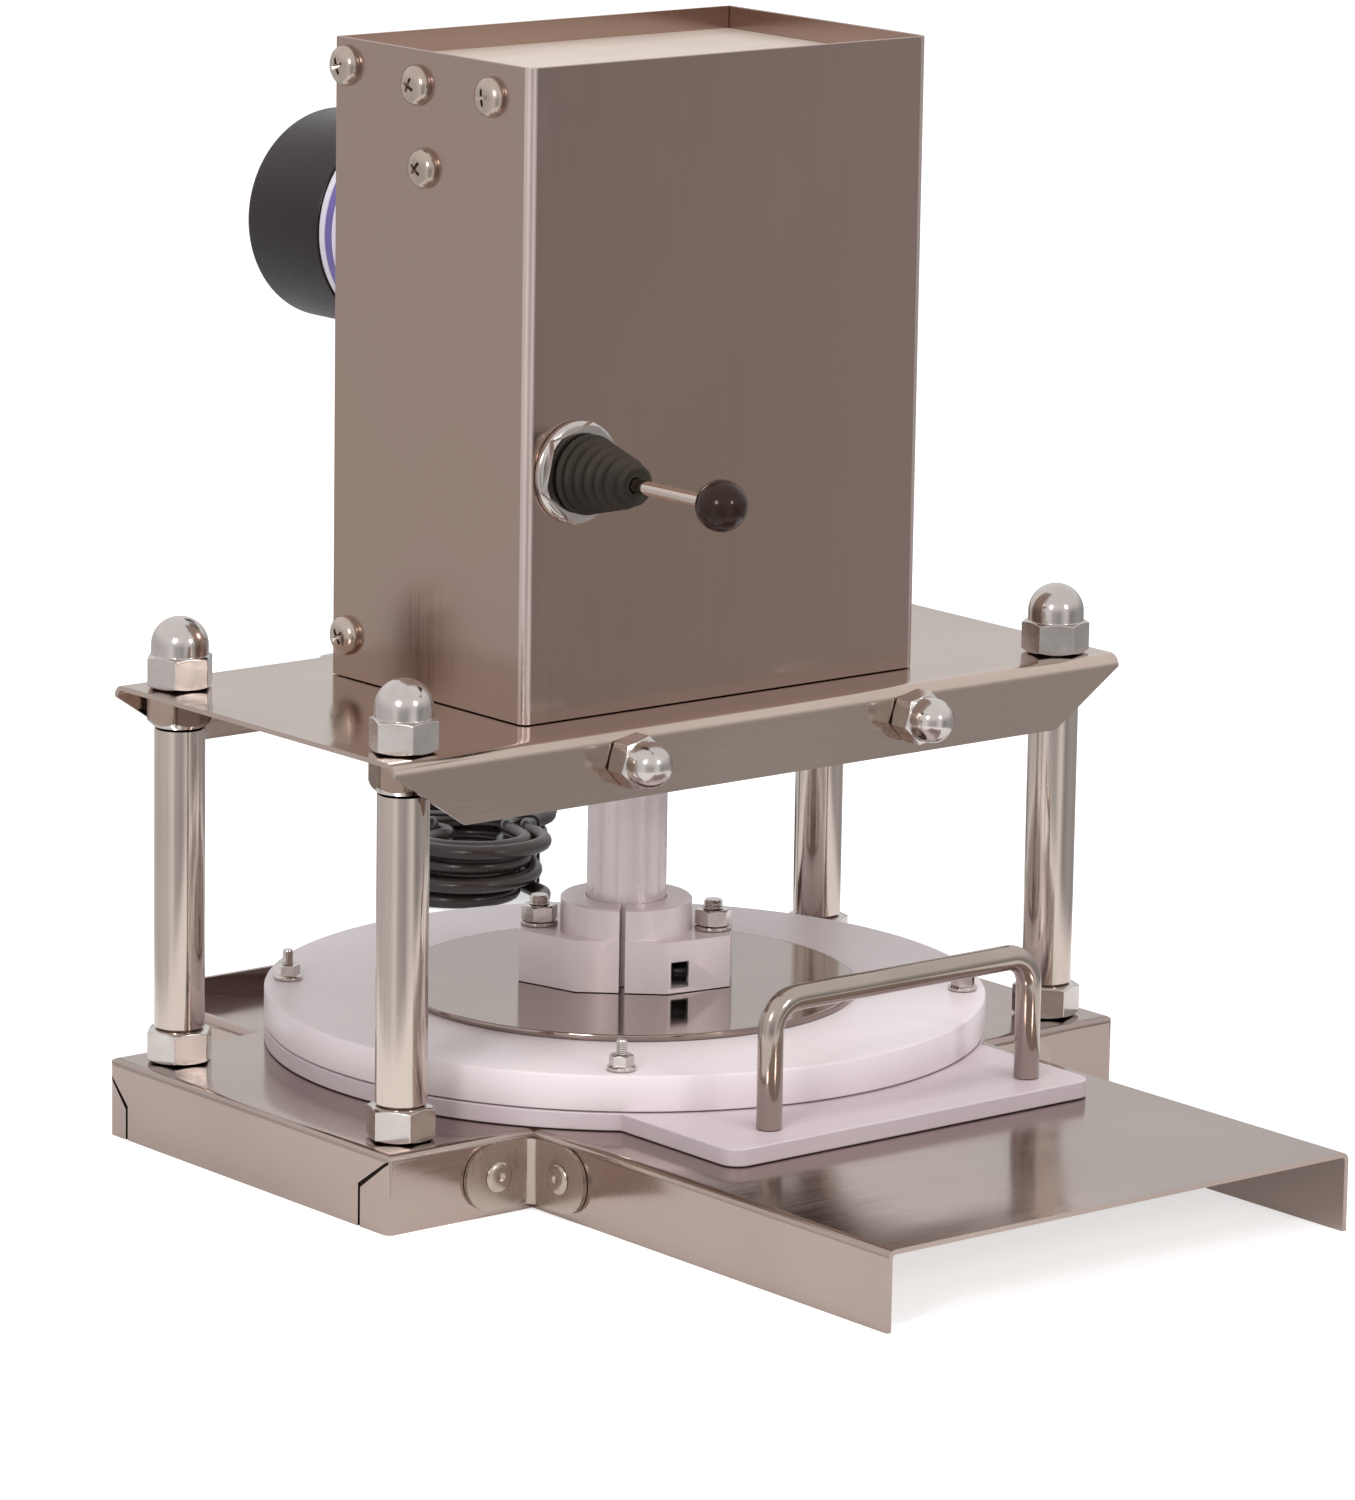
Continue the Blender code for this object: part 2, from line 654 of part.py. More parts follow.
def base_outline():
    edges = [
        ((TONGUE_HALF_WIDTH, -BASE_HALF_DEPTH), True),
        ((BASE_HALF_WIDTH, -BASE_HALF_DEPTH), True),
        ((BASE_HALF_WIDTH, BASE_HALF_DEPTH), True),
        ((TONGUE_HALF_WIDTH, BASE_HALF_DEPTH), True),
        ((TONGUE_HALF_WIDTH, BASE_HALF_DEPTH + REAR_TONGUE), False),
        ((-TONGUE_HALF_WIDTH, BASE_HALF_DEPTH + REAR_TONGUE), True),
        ((-TONGUE_HALF_WIDTH, BASE_HALF_DEPTH), True),
        ((-BASE_HALF_WIDTH, BASE_HALF_DEPTH), True),
        ((-BASE_HALF_WIDTH, -BASE_HALF_DEPTH), True),
        ((-TONGUE_HALF_WIDTH, -BASE_HALF_DEPTH), True),
        ((-TONGUE_HALF_WIDTH, PRESS_FRONT), False),
        ((TONGUE_HALF_WIDTH, PRESS_FRONT), True),
    ]
    return [point for point, _ in edges], [flange for _, flange in edges]


def seam_cutter(side_x, side_y):
    """The thin open line where the front or rear flange laps round a corner."""
    half = SEAM_WIDTH / 2
    line = BASE_HALF_DEPTH - SEAM_FROM_CORNER
    top = BASE_TOP - SEAM_DROP
    end = BASE_HALF_DEPTH - BASE_BEND
    outline = [(line - half, -OVERRUN), (line + half, -OVERRUN), (line + half, top - half),
               (end, BASE_TOP - BASE_BEND - half), (end, BASE_TOP - BASE_BEND + half),
               (line - half, top + half)]
    wall = (BASE_HALF_WIDTH - BASE_SHEET - OVERRUN, BASE_HALF_WIDTH + OVERRUN)
    cutter = prism("seam", outline, *wall, axis="X")
    cutter.data.transform(Matrix.Diagonal((side_x, side_y, 1, 1)))
    if side_x * side_y < 0:
        cutter.data.flip_normals()
    return cutter


def rivet_places(side_x, side_y):
    """Centres of a bracket's two rivets, on the base flange and on the tongue's flange."""
    height = BASE_TOP - BASE_HEIGHT / 2
    on_base = (side_x * (TONGUE_HALF_WIDTH + RIVET_FROM_CORNER), side_y * BASE_HALF_DEPTH, height)
    on_tongue = (side_x * TONGUE_HALF_WIDTH, side_y * (BASE_HALF_DEPTH + RIVET_FROM_CORNER), height)
    return on_base, on_tongue


def make_base(carrier):
    outline, flanged = base_outline()
    base = folded("base_tray", outline, flanged, 0.0, BASE_TOP, BASE_SHEET, BASE_BEND)
    rear = BASE_HALF_DEPTH + REAR_TONGUE
    inner = TONGUE_HALF_WIDTH - BASE_BEND
    join(base, box("lip", (-inner, inner), (rear - BASE_SHEET, rear),
                   (BASE_TOP - BASE_SHEET, BASE_TOP + REAR_LIP)))
    for x in (-POST_X, POST_X):
        for y in (-POST_Y, POST_Y):
            cut(base, cylinder("hole", STUD_RADIUS + BORE_GAP, BASE_TOP - BASE_SHEET - OVERRUN,
                               BASE_TOP + OVERRUN, (x, y), steps=NUT_STEPS))
    for side_x in (-1, 1):
        for side_y in (-1, 1):
            cut(base, seam_cutter(side_x, side_y))
            on_base, on_tongue = rivet_places(side_x, side_y)
            hole = RIVET_RADIUS + BORE_GAP
            wall = sorted((on_base[1] - side_y * (BASE_SHEET + OVERRUN), on_base[1] + side_y * OVERRUN))
            cut(base, cylinder("hole", hole, *wall, (on_base[0], on_base[2]), "Y", SMALL_ROUND_STEPS))
            wall = sorted((on_tongue[0] - side_x * (BASE_SHEET + OVERRUN), on_tongue[0] + side_x * OVERRUN))
            cut(base, cylinder("hole", hole, *wall, (on_tongue[1], on_tongue[2]), "X", SMALL_ROUND_STEPS))
    finish(base, "plate", carrier)


def rivet(centre, face, out, axis):
    """A rivet whose shank reaches through the base's wall and whose head stands outside."""
    tail = face - out * (SEAT_GAP + BASE_SHEET)
    seat = face + out * (SEAT_GAP + BRACKET_SHEET / 2)
    edge = face + out * (SEAT_GAP + BRACKET_SHEET)
    head = edge + out * RIVET_HEAD
    rim = edge + out * RIVET_HEAD * RIVET_RIM_SHARE
    crown_width, crown_height = RIVET_CROWN_SHARES
    profile = [(0, tail), (RIVET_RADIUS, tail), (RIVET_RADIUS, seat), (RIVET_HEAD_RADIUS, seat),
               (RIVET_HEAD_RADIUS, rim),
               (RIVET_HEAD_RADIUS * crown_width, edge + out * RIVET_HEAD * crown_height), (0, head)]
    return turned("rivet", profile, centre, axis, SMALL_ROUND_STEPS)


def make_bracket(name, side_x, side_y, carrier):
    """An angle piece in the outer corner between the base flange and the tongue's flange."""
    low = BASE_TOP - (BASE_HEIGHT + BRACKET_HEIGHT) / 2
    face_x = side_x * (TONGUE_HALF_WIDTH + SEAT_GAP)
    face_y = side_y * (BASE_HALF_DEPTH + SEAT_GAP)
    corner = BRACKET_CORNER
    def leg(start, direction, low_face, high_face, axis):
        end = start + direction * BRACKET_LEG
        outline = rounded_rectangle(*sorted((start, end)), low, low + BRACKET_HEIGHT, corner)
        square = rectangle(*sorted((start, start + direction * BRACKET_LEG / 2)), low, low + BRACKET_HEIGHT)
        plate = prism("leg", outline, *sorted((low_face, high_face)), axis)
        return join(plate, prism("leg", square, *sorted((low_face, high_face)), axis))
    along_base = leg(face_x, side_x, face_y, face_y + side_y * BRACKET_SHEET, "Y")
    along_tongue = leg(face_y, side_y, face_x, face_x + side_x * BRACKET_SHEET, "X")
    bracket = join(along_base, along_tongue)
    on_base, on_tongue = rivet_places(side_x, side_y)
    join(bracket, rivet((on_base[0], on_base[2]), on_base[1], side_y, "Y"),
         rivet((on_tongue[1], on_tongue[2]), on_tongue[0], side_x, "X"))
    bracket.name = name
    finish(bracket, "steel", carrier)


# Posts and nuts

def make_post():
    """A bar that ends in studs, with the hexagon head that holds it below the base."""
    under = BASE_TOP - BASE_SHEET - SEAT_GAP
    shoulder = BASE_TOP + 2 * SEAT_GAP + NUT_HEIGHT
    upper = PLATE_BOTTOM - 2 * SEAT_GAP - NUT_HEIGHT
    tip = PLATE_TOP + ACORN_BORE
    profile = [(0, under - POST_HEAD / 2), (STUD_RADIUS, under - POST_HEAD / 2),
               (STUD_RADIUS, shoulder), (POST_RADIUS, shoulder), (POST_RADIUS, upper),
               (STUD_RADIUS, upper), (STUD_RADIUS, tip), (0, tip)]
    post = turned("post", profile, steps=NUT_STEPS)
    return join(post, chamfered_hexagon("head", NUT_FLATS, under - POST_HEAD, under, NUT_CHAMFER))


def make_plain_nut(low):
    nut = chamfered_hexagon("nut", NUT_FLATS, low, low + NUT_HEIGHT, NUT_CHAMFER)
    bore = (low - OVERRUN, low + NUT_HEIGHT + OVERRUN)
    return cut(nut, cylinder("bore", STUD_RADIUS + BORE_GAP, *bore, steps=NUT_STEPS))


def make_collar_nut():
    """A nut under the top plate whose lower end is turned to a taper."""
    high = PLATE_BOTTOM - SEAT_GAP
    nut = make_plain_nut(high - NUT_HEIGHT)
    tip = NUT_FLATS / 2 - COLLAR_TAPER / 2
    corner = NUT_FLATS * HEXAGON_CORNER_SHARE + SEAT_GAP
    low = high - NUT_HEIGHT
    profile = [(0, low - OVERRUN), (tip, low - OVERRUN), (tip, low), (corner, low + COLLAR_TAPER),
               (corner, high + OVERRUN), (0, high + OVERRUN)]
    return combine(nut, turned("taper", profile, steps=NUT_STEPS), "INTERSECT")


def make_acorn(flats, hexagon_height, dome_radius, height, bore_radius, bore):
    nut = chamfered_hexagon("acorn", flats, 0.0, hexagon_height, NUT_CHAMFER)
    overlap = hexagon_height / 2
    profile = [(0, overlap)] + dome_profile(overlap, dome_radius, height)
    join(nut, turned("dome", profile, steps=NUT_STEPS))
    return cut(nut, cylinder("bore", bore_radius + BORE_GAP, -OVERRUN, bore + SEAT_GAP, steps=NUT_STEPS))


def make_posts(carrier):
    post = make_post()
    base_nut = make_plain_nut(BASE_TOP + SEAT_GAP)
    collar = make_collar_nut()
    acorn = make_acorn(NUT_FLATS, ACORN_HEX, ACORN_DOME_RADIUS, ACORN_HEIGHT, STUD_RADIUS, ACORN_BORE)
    lift = Vector((0, 0, PLATE_TOP + SEAT_GAP))
    turns = {"front_left": 8, "front_right": 21, "rear_left": 47, "rear_right": 33}
    for corner, turn in turns.items():
        place = Vector((POST_X, POST_Y, 0))
        place.x *= 1 if "right" in corner else -1
        place.y *= 1 if "rear" in corner else -1
        angle = math.radians(turn)
        finish(copy_to("post_" + corner, post, place), "bright", carrier)
        finish(copy_to("base_nut_" + corner, base_nut, place, angle), "bright", carrier)
        finish(copy_to("collar_nut_" + corner, collar, place, angle), "bright", carrier)
        finish(copy_to("acorn_nut_" + corner, acorn, place + lift, angle), "bright", carrier)
    for item in (post, base_nut, collar, acorn):
        bpy.data.objects.remove(item, do_unlink=True)


# Top plate and what crosses it

def make_top_plate(carrier):
    outline = rectangle(-PLATE_HALF_WIDTH, PLATE_HALF_WIDTH, -PLATE_HALF_DEPTH, PLATE_HALF_DEPTH)
    low = PLATE_TOP - PLATE_FLANGE
    plate = folded("top_plate", outline, [True, False, True, False], low, PLATE_TOP, PLATE_SHEET, PLATE_BEND)
    start = PLATE_TOP - PLATE_BEND
    depth = PLATE_HALF_DEPTH + OVERRUN
    for side in (-1, 1):
        end = side * PLATE_HALF_WIDTH
        beyond = end + side * OVERRUN
        inboard = end - side * FLANGE_CHAMFER
        chamfer = [(beyond, start), (end, start), (inboard, low), (inboard, low - OVERRUN),
                   (beyond, low - OVERRUN)]
        cut(plate, prism("chamfer", chamfer, -depth, depth, "Y"))
    span = (PLATE_BOTTOM - OVERRUN, PLATE_TOP + OVERRUN)
    for x in (-POST_X, POST_X):
        for y in (-POST_Y, POST_Y):
            cut(plate, cylinder("hole", STUD_RADIUS + BORE_GAP, *span, (x, y), steps=NUT_STEPS))
    cut(plate, cylinder("hole", BUSH_RADIUS + BORE_GAP, *span, (0, RAM_Y)))
    for x in (-TIE_X, TIE_X):
        cut(plate, cylinder("hole", TIE_RADIUS + BORE_GAP, -depth, depth, (x, PLATE_TOP - TIE_BELOW_PLATE),
                            "Y", SMALL_ROUND_STEPS))
    finish(plate, "plate", carrier)


def make_ties(carrier):
    """Long bolts from the rear flange to acorn nuts on the front flange."""
    height = PLATE_TOP - TIE_BELOW_PLATE
    face = PLATE_HALF_DEPTH + SEAT_GAP
    for name, x in (("left", -TIE_X), ("right", TIE_X)):
        rod = cylinder("tie_bolt_" + name, TIE_RADIUS, -face - TIE_NUT_BORE + SEAT_GAP, face + TIE_HEAD / 2,
                       (x, height), "Y", SMALL_ROUND_STEPS)
        join(rod, chamfered_hexagon("head", TIE_FLATS, face, face + TIE_HEAD, NUT_CHAMFER, "Y", (x, height)))
        finish(rod, "bright", carrier)
        nut = make_acorn(TIE_FLATS, TIE_NUT_HEX, TIE_DOME_RADIUS, TIE_NUT_HEIGHT, TIE_RADIUS, TIE_NUT_BORE)
        lay_down = Matrix.Translation((x, -face, height)) @ Matrix.Rotation(math.pi / 2, 4, "X")
        nut.data.transform(lay_down)
        nut.name = "tie_nut_" + name
        finish(nut, "bright", carrier)


def make_guide(carrier):
    high = PLATE_BOTTOM - SEAT_GAP
    low = high - GUIDE_BLOCK_HEIGHT
    height = PLATE_TOP - TIE_BELOW_PLATE
    depth = (RAM_Y - GUIDE_BLOCK_HALF_DEPTH, RAM_Y + GUIDE_BLOCK_HALF_DEPTH)
    block = box("guide_block", (-GUIDE_BLOCK_HALF_WIDTH, GUIDE_BLOCK_HALF_WIDTH), depth, (low, high))
    cut(block, cylinder("bore", BUSH_RADIUS + BORE_GAP, low - OVERRUN, high + OVERRUN, (0, RAM_Y)))
    for x in (-TIE_X, TIE_X):
        cut(block, cylinder("bore", TIE_RADIUS + BORE_GAP, depth[0] - OVERRUN, depth[1] + OVERRUN,
                            (x, height), "Y", SMALL_ROUND_STEPS))
    finish(block, "alloy", carrier)
    bore = COLUMN_RADIUS + RUNNING_GAP
    flange = PLATE_TOP + SEAT_GAP
    profile = [(bore, low), (BUSH_RADIUS, low), (BUSH_RADIUS, flange), (BUSH_FLANGE_RADIUS, flange),
               (BUSH_FLANGE_RADIUS, flange + BUSH_FLANGE), (BUSH_RADIUS, flange + BUSH_FLANGE),
               (BUSH_RADIUS, PLATE_TOP + BUSH_ABOVE_PLATE), (bore, PLATE_TOP + BUSH_ABOVE_PLATE)]
    finish(turned("guide_bush", profile, (0, RAM_Y), ring=True), "bright", carrier)


# Ram

def rack_grooves():
    """The spaces between the rack's teeth as one comb, with a space at the pinion's height."""
    addendum = GEAR_MODULE * ADDENDUM_SHARE
    dedendum = GEAR_MODULE * DEDENDUM_SHARE
    tooth = TOOTH_PITCH / 2 - GEAR_BACKLASH / 2
    lean = math.tan(PRESSURE_ANGLE)
    tip = RACK_PITCH_X - addendum
    root = RACK_PITCH_X + dedendum
    outside = -COLUMN_RADIUS - OVERRUN
    first = math.ceil((RACK_LOW - AXIS_Z) / TOOTH_PITCH)
    last = math.floor((RACK_HIGH - AXIS_Z) / TOOTH_PITCH)
    half_tip = (TOOTH_PITCH - tooth) / 2 + addendum * lean
    half_root = (TOOTH_PITCH - tooth) / 2 - dedendum * lean
    outline = [(outside, AXIS_Z + first * TOOTH_PITCH - half_tip)]
    for number in range(first, last + 1):
        middle = AXIS_Z + number * TOOTH_PITCH
        outline += [(tip, middle - half_tip), (root, middle - half_root), (root, middle + half_root),
                    (tip, middle + half_tip)]
    outline.append((outside, AXIS_Z + last * TOOTH_PITCH + half_tip))
    return outline


def make_column(carrier):
    high = COLUMN_TOP
    profile = [(0, HUB_BOTTOM), (COLUMN_RADIUS, HUB_BOTTOM), (COLUMN_RADIUS, high - COLUMN_EDGE),
               (COLUMN_RADIUS - COLUMN_EDGE, high), (0, high)]
    column = turned("ram_column", profile, (0, RAM_Y))
    reach = COLUMN_RADIUS + OVERRUN
    cut(column, prism("rack", rack_grooves(), RAM_Y - reach, RAM_Y + reach, "Y"))
    finish(column, "bright", carrier)


def hub_outline():
    right = [(HUB_FACET_HALF, -HUB_HALF_DEPTH), (HUB_WING_HALF, -HUB_WING_END_HALF),
             (HUB_WING_HALF, HUB_WING_END_HALF), (HUB_FACET_HALF, HUB_HALF_DEPTH)]
    return right + [(-x, y) for x, y in reversed(right)]


def make_hub(carrier):
    """A split block with a round boss, two bolted wings and a pocket for its clamp screw."""
    hub = prism("clamp_hub", hub_outline(), 0.0, HUB_BLOCK_HEIGHT)
    join(hub, cylinder("boss", HUB_BOSS_RADIUS, HUB_BLOCK_HEIGHT / 2, HUB_BOSS_HEIGHT))
    through = (-OVERRUN, HUB_BOSS_HEIGHT + OVERRUN)
    cut(hub, cylinder("bore", COLUMN_RADIUS + SEAT_GAP, *through))
    cut(hub, box("slit", (-HUB_SLIT / 2, HUB_SLIT / 2), (-HUB_HALF_DEPTH - OVERRUN, 0.0), through))
    cut(hub, box("pocket", (HUB_POCKET_START, HUB_POCKET_START + HUB_POCKET_WIDTH),
                 (-HUB_HALF_DEPTH - OVERRUN, -HUB_HALF_DEPTH + HUB_POCKET_DEPTH),
                 (HUB_POCKET_LOW, HUB_POCKET_LOW + HUB_POCKET_HEIGHT)))
    for x in (-HUB_BOLT_X, HUB_BOLT_X):
        cut(hub, cylinder("hole", HUB_BOLT_RADIUS + BORE_GAP, *through, (x, 0), steps=SMALL_ROUND_STEPS))
    hub.data.transform(Matrix.Translation((0, RAM_Y, HUB_BOTTOM)) @ Matrix.Rotation(HUB_TURN, 4, "Z"))
    finish(hub, "alloy", carrier)


def hub_bolt_place(side):
    out = side * HUB_BOLT_X
    return Vector((out * math.cos(HUB_TURN), RAM_Y + out * math.sin(HUB_TURN), 0))


def make_hub_bolts(carrier):
    seat = HUB_BOTTOM + HUB_BLOCK_HEIGHT + SEAT_GAP
    tip = DIE_TOP - HUB_BOLT_IN_DIE + SEAT_GAP
    for name, side in (("left", -1), ("right", 1)):
        bolt = cylinder("hub_bolt_" + name, HUB_BOLT_RADIUS, tip, seat + HUB_BOLT_NUT + HUB_BOLT_TIP,
                        steps=SMALL_ROUND_STEPS)
        join(bolt, chamfered_hexagon("nut", HUB_BOLT_FLATS, seat, seat + HUB_BOLT_NUT, NUT_CHAMFER / 2))
        bolt.data.transform(Matrix.Translation(hub_bolt_place(side)) @ Matrix.Rotation(HUB_TURN, 4, "Z"))
        finish(bolt, "bright", carrier)


def stop_places():
    names = ("front", "right", "rear", "left")
    places = {}
    for number, name in enumerate(names):
        turn = STOP_TURN + number * math.pi / 2
        places[name] = (STOP_CIRCLE * math.cos(turn), RAM_Y + STOP_CIRCLE * math.sin(turn))
    return places


def make_pressing_plates(carrier):
    edge = DIE_EDGE
    profile = [(0, DIE_BOTTOM), (DIE_RADIUS - edge, DIE_BOTTOM), (DIE_RADIUS, DIE_BOTTOM + edge),
               (DIE_RADIUS, DIE_TOP - edge), (DIE_RADIUS - edge, DIE_TOP), (0, DIE_TOP)]
    die = turned("upper_die", profile, (0, RAM_Y), steps=WIDE_ROUND_STEPS)
    disc_low = DIE_TOP + SEAT_GAP
    disc = cylinder("backing_disc", DISC_RADIUS, disc_low, DISC_TOP, (0, RAM_Y), steps=WIDE_ROUND_STEPS)
    for side in (-1, 1):
        place = hub_bolt_place(side)[:2]
        hole = HUB_BOLT_RADIUS + BORE_GAP
        cut(die, cylinder("hole", hole, DIE_TOP - HUB_BOLT_IN_DIE, DIE_TOP + OVERRUN, place,
                          steps=SMALL_ROUND_STEPS))
        cut(disc, cylinder("hole", hole, disc_low - OVERRUN, DISC_TOP + OVERRUN, place,
                           steps=SMALL_ROUND_STEPS))
    for place in stop_places().values():
        hole = STOP_STUD_RADIUS + BORE_GAP
        cut(die, cylinder("hole", hole, DIE_BOTTOM - OVERRUN, DIE_TOP + OVERRUN, place,
                          steps=SMALL_ROUND_STEPS))
    finish(die, "alloy", carrier)
    finish(disc, "steel", carrier)


def make_stop_screws(carrier):
    """Threaded stops, each locked by a flanged nut on the die."""
    seat = DIE_TOP + SEAT_GAP
    flange = STOP_HEIGHT * STOP_FLANGE_SHARE
    nut = STOP_HEIGHT * STOP_NUT_SHARE
    neck = STOP_NUT_RADIUS * STOP_NECK_SHARES[0]
    neck_low = flange * STOP_NECK_SHARES[1]
    for name, place in stop_places().items():
        profile = [(0, DIE_BOTTOM), (STOP_STUD_RADIUS, DIE_BOTTOM), (STOP_STUD_RADIUS, seat),
                   (STOP_NUT_RADIUS, seat), (STOP_NUT_RADIUS, seat + flange), (neck, seat + neck_low),
                   (neck, seat + nut), (STOP_STUD_RADIUS, seat + nut),
                   (STOP_STUD_RADIUS, seat + STOP_HEIGHT), (0, seat + STOP_HEIGHT)]
        finish(turned("stop_screw_" + name, profile, place, steps=SMALL_ROUND_STEPS), "bright", carrier)


# Tray

def tray_outline():
    """A disc that runs out at the front into a tab with rounded corners."""
    meet = math.asin(TRAY_TAB_HALF_WIDTH / TRAY_RADIUS)
    down = -math.pi / 2
    points = arc((0, RAM_Y), TRAY_RADIUS, down + meet, down - meet + 2 * math.pi, WIDE_ROUND_STEPS)
    side = TRAY_TAB_HALF_WIDTH - TRAY_TAB_CORNER
    front = -TRAY_TAB_FRONT + TRAY_TAB_CORNER
    points += arc((-side, front), TRAY_TAB_CORNER, math.pi, math.pi * 1.5, BEND_STEPS)
    points += arc((side, front), TRAY_TAB_CORNER, math.pi * 1.5, math.pi * 2, BEND_STEPS)
    return points


def handle_feet():
    return HANDLE_OFFSET - HANDLE_X, HANDLE_OFFSET + HANDLE_X


def make_tray(carrier):
    low = BASE_TOP + SEAT_GAP
    tray = prism("dough_tray", tray_outline(), low, TRAY_TOP)
    for x in handle_feet():
        cut(tray, cylinder("hole", HANDLE_STUD_RADIUS + BORE_GAP, low - OVERRUN, TRAY_TOP + OVERRUN,
                           (x, -HANDLE_Y), steps=SMALL_ROUND_STEPS))
    finish(tray, "alloy", carrier)


def make_handle(carrier):
    """A bent bar that stands on two feet, each with a stud through the tray."""
    left, right = handle_feet()
    foot = TRAY_TOP + SEAT_GAP
    bar = TRAY_TOP + HANDLE_HEIGHT - HANDLE_RADIUS
    bend = HANDLE_BEND
    rise = [(left, TRAY_TOP - HANDLE_STUD, HANDLE_STUD_RADIUS), (left, foot, HANDLE_STUD_RADIUS),
            (left, foot, HANDLE_RADIUS)]
    corner = arc((left + bend, bar - bend), bend, math.pi, math.pi / 2, HANDLE_BEND_STEPS)
    bow = [(x, z, HANDLE_RADIUS) for x, z in corner]
    half = rise + bow
    middle = (left + right) / 2
    line = half + [(2 * middle - x, z, radius) for x, z, radius in reversed(half)]
    rings = []
    for number, (x, z, radius) in enumerate(line):
        before = line[max(number - 1, 0)]
        after = line[min(number + 1, len(line) - 1)]
        along = Vector((after[0] - before[0], 0, after[1] - before[1])).normalized()
        side = Vector((0, 1, 0)).cross(along)
        centre = Vector((x, -HANDLE_Y, z))
        rings.append([centre + side * a + Vector((0, b, 0)) for a, b in circle(radius, SMALL_ROUND_STEPS)])
    finish(loft("tray_handle", rings), "alloy", carrier)


# Housing

def make_housing_shell(carrier):
    left = HOUSING_CENTRE_X - HOUSING_HALF_WIDTH
    right = HOUSING_CENTRE_X + HOUSING_HALF_WIDTH
    def u_shape(move, back):
        corner = HOUSING_CORNER - move
        low = HOUSING_FRONT + move
        return ([(right - move, back)] + [(left + move, back)]
                + arc((left + move + corner, low + corner), corner, math.pi, math.pi * 1.5, BEND_STEPS)
                + arc((right - move - corner, low + corner), corner, math.pi * 1.5, math.pi * 2, BEND_STEPS))
    shell = prism("housing_shell", u_shape(0.0, HOUSING_BACK), HOUSING_LOW, HOUSING_TOP)
    span = (HOUSING_LOW - OVERRUN, HOUSING_TOP + OVERRUN)
    cut(shell, prism("inside", u_shape(HOUSING_SHEET, HOUSING_BACK + OVERRUN), *span))
    wall = (HOUSING_FRONT - OVERRUN, HOUSING_FRONT + HOUSING_SHEET + OVERRUN)
    cut(shell, cylinder("hole", STICK_HOLE_RADIUS + BORE_GAP, *wall, (STICK_X, STICK_Z), "Y"))
    finish(shell, "plate", carrier)


def make_housing_back(carrier):
    """The back wall with its folded sides and foot, and the rear strip of the top."""
    sheet = HOUSING_SHEET
    wall = (HOUSING_BACK - sheet, HOUSING_BACK)
    foot = PLATE_TOP + SEAT_GAP
    strip_low = LID_TOP - sheet
    back = box("housing_back", (INNER_LEFT, INNER_RIGHT), wall, (foot, HOUSING_TOP))
    reach = HOUSING_BACK - BACK_FLANGE
    join(back, box("foot", (INNER_LEFT, INNER_RIGHT), (reach, HOUSING_BACK - sheet / 2),
                   (foot, foot + sheet)))
    for inner, outer in ((INNER_LEFT, INNER_LEFT + sheet), (INNER_RIGHT - sheet, INNER_RIGHT)):
        join(back, box("side", (inner, outer), (reach, HOUSING_BACK - sheet / 2),
                       (foot + sheet / 2, strip_low + sheet / 2)))
        join(back, box("side", (inner, outer), (LID_STEP_Y + LID_LAP + SEAT_GAP, reach + sheet),
                       (LID_TOP - LID_FLANGE, strip_low + sheet / 2)))
    join(back, box("strip", (INNER_LEFT, INNER_RIGHT), (LID_STEP_Y, HOUSING_BACK - sheet / 2),
                   (strip_low, LID_TOP)))
    span = (HOUSING_BACK - sheet - OVERRUN, HOUSING_BACK + OVERRUN)
    cut(back, cylinder("hole", SHAFT_HOLE_RADIUS, *span, (SHAFT_X, AXIS_Z), "Y"))
    cut(back, cylinder("hole", GLAND_NECK_RADIUS + BORE_GAP, *span, (GLAND_X, GLAND_Z), "Y",
                       SMALL_ROUND_STEPS))
    finish(back, "plate", carrier)


def make_housing_lid(carrier):
    """The front strip of the top, lapped under the rear strip."""
    sheet = HOUSING_SHEET
    high = LID_TOP - sheet - SEAT_GAP
    front = HOUSING_FRONT + sheet + SEAT_GAP
    rear = LID_STEP_Y + LID_LAP
    clip = HOUSING_CORNER - sheet
    outline = [(INNER_LEFT + clip, front), (INNER_RIGHT - clip, front), (INNER_RIGHT, front + clip),
               (INNER_RIGHT, rear), (INNER_LEFT, rear), (INNER_LEFT, front + clip)]
    lid = prism("housing_lid", outline, high - sheet, high)
    side_end = LID_STEP_Y - LID_LAP
    low = high - LID_FLANGE
    for inner, outer in ((INNER_LEFT, INNER_LEFT + sheet), (INNER_RIGHT - sheet, INNER_RIGHT)):
        join(lid, box("side", (inner, outer), (front + clip, side_end), (low, high - sheet / 2)))
    join(lid, box("front", (INNER_LEFT + clip, INNER_RIGHT - clip), (front, front + sheet),
                  (low, high - sheet / 2)))
    finish(lid, "plate", carrier)


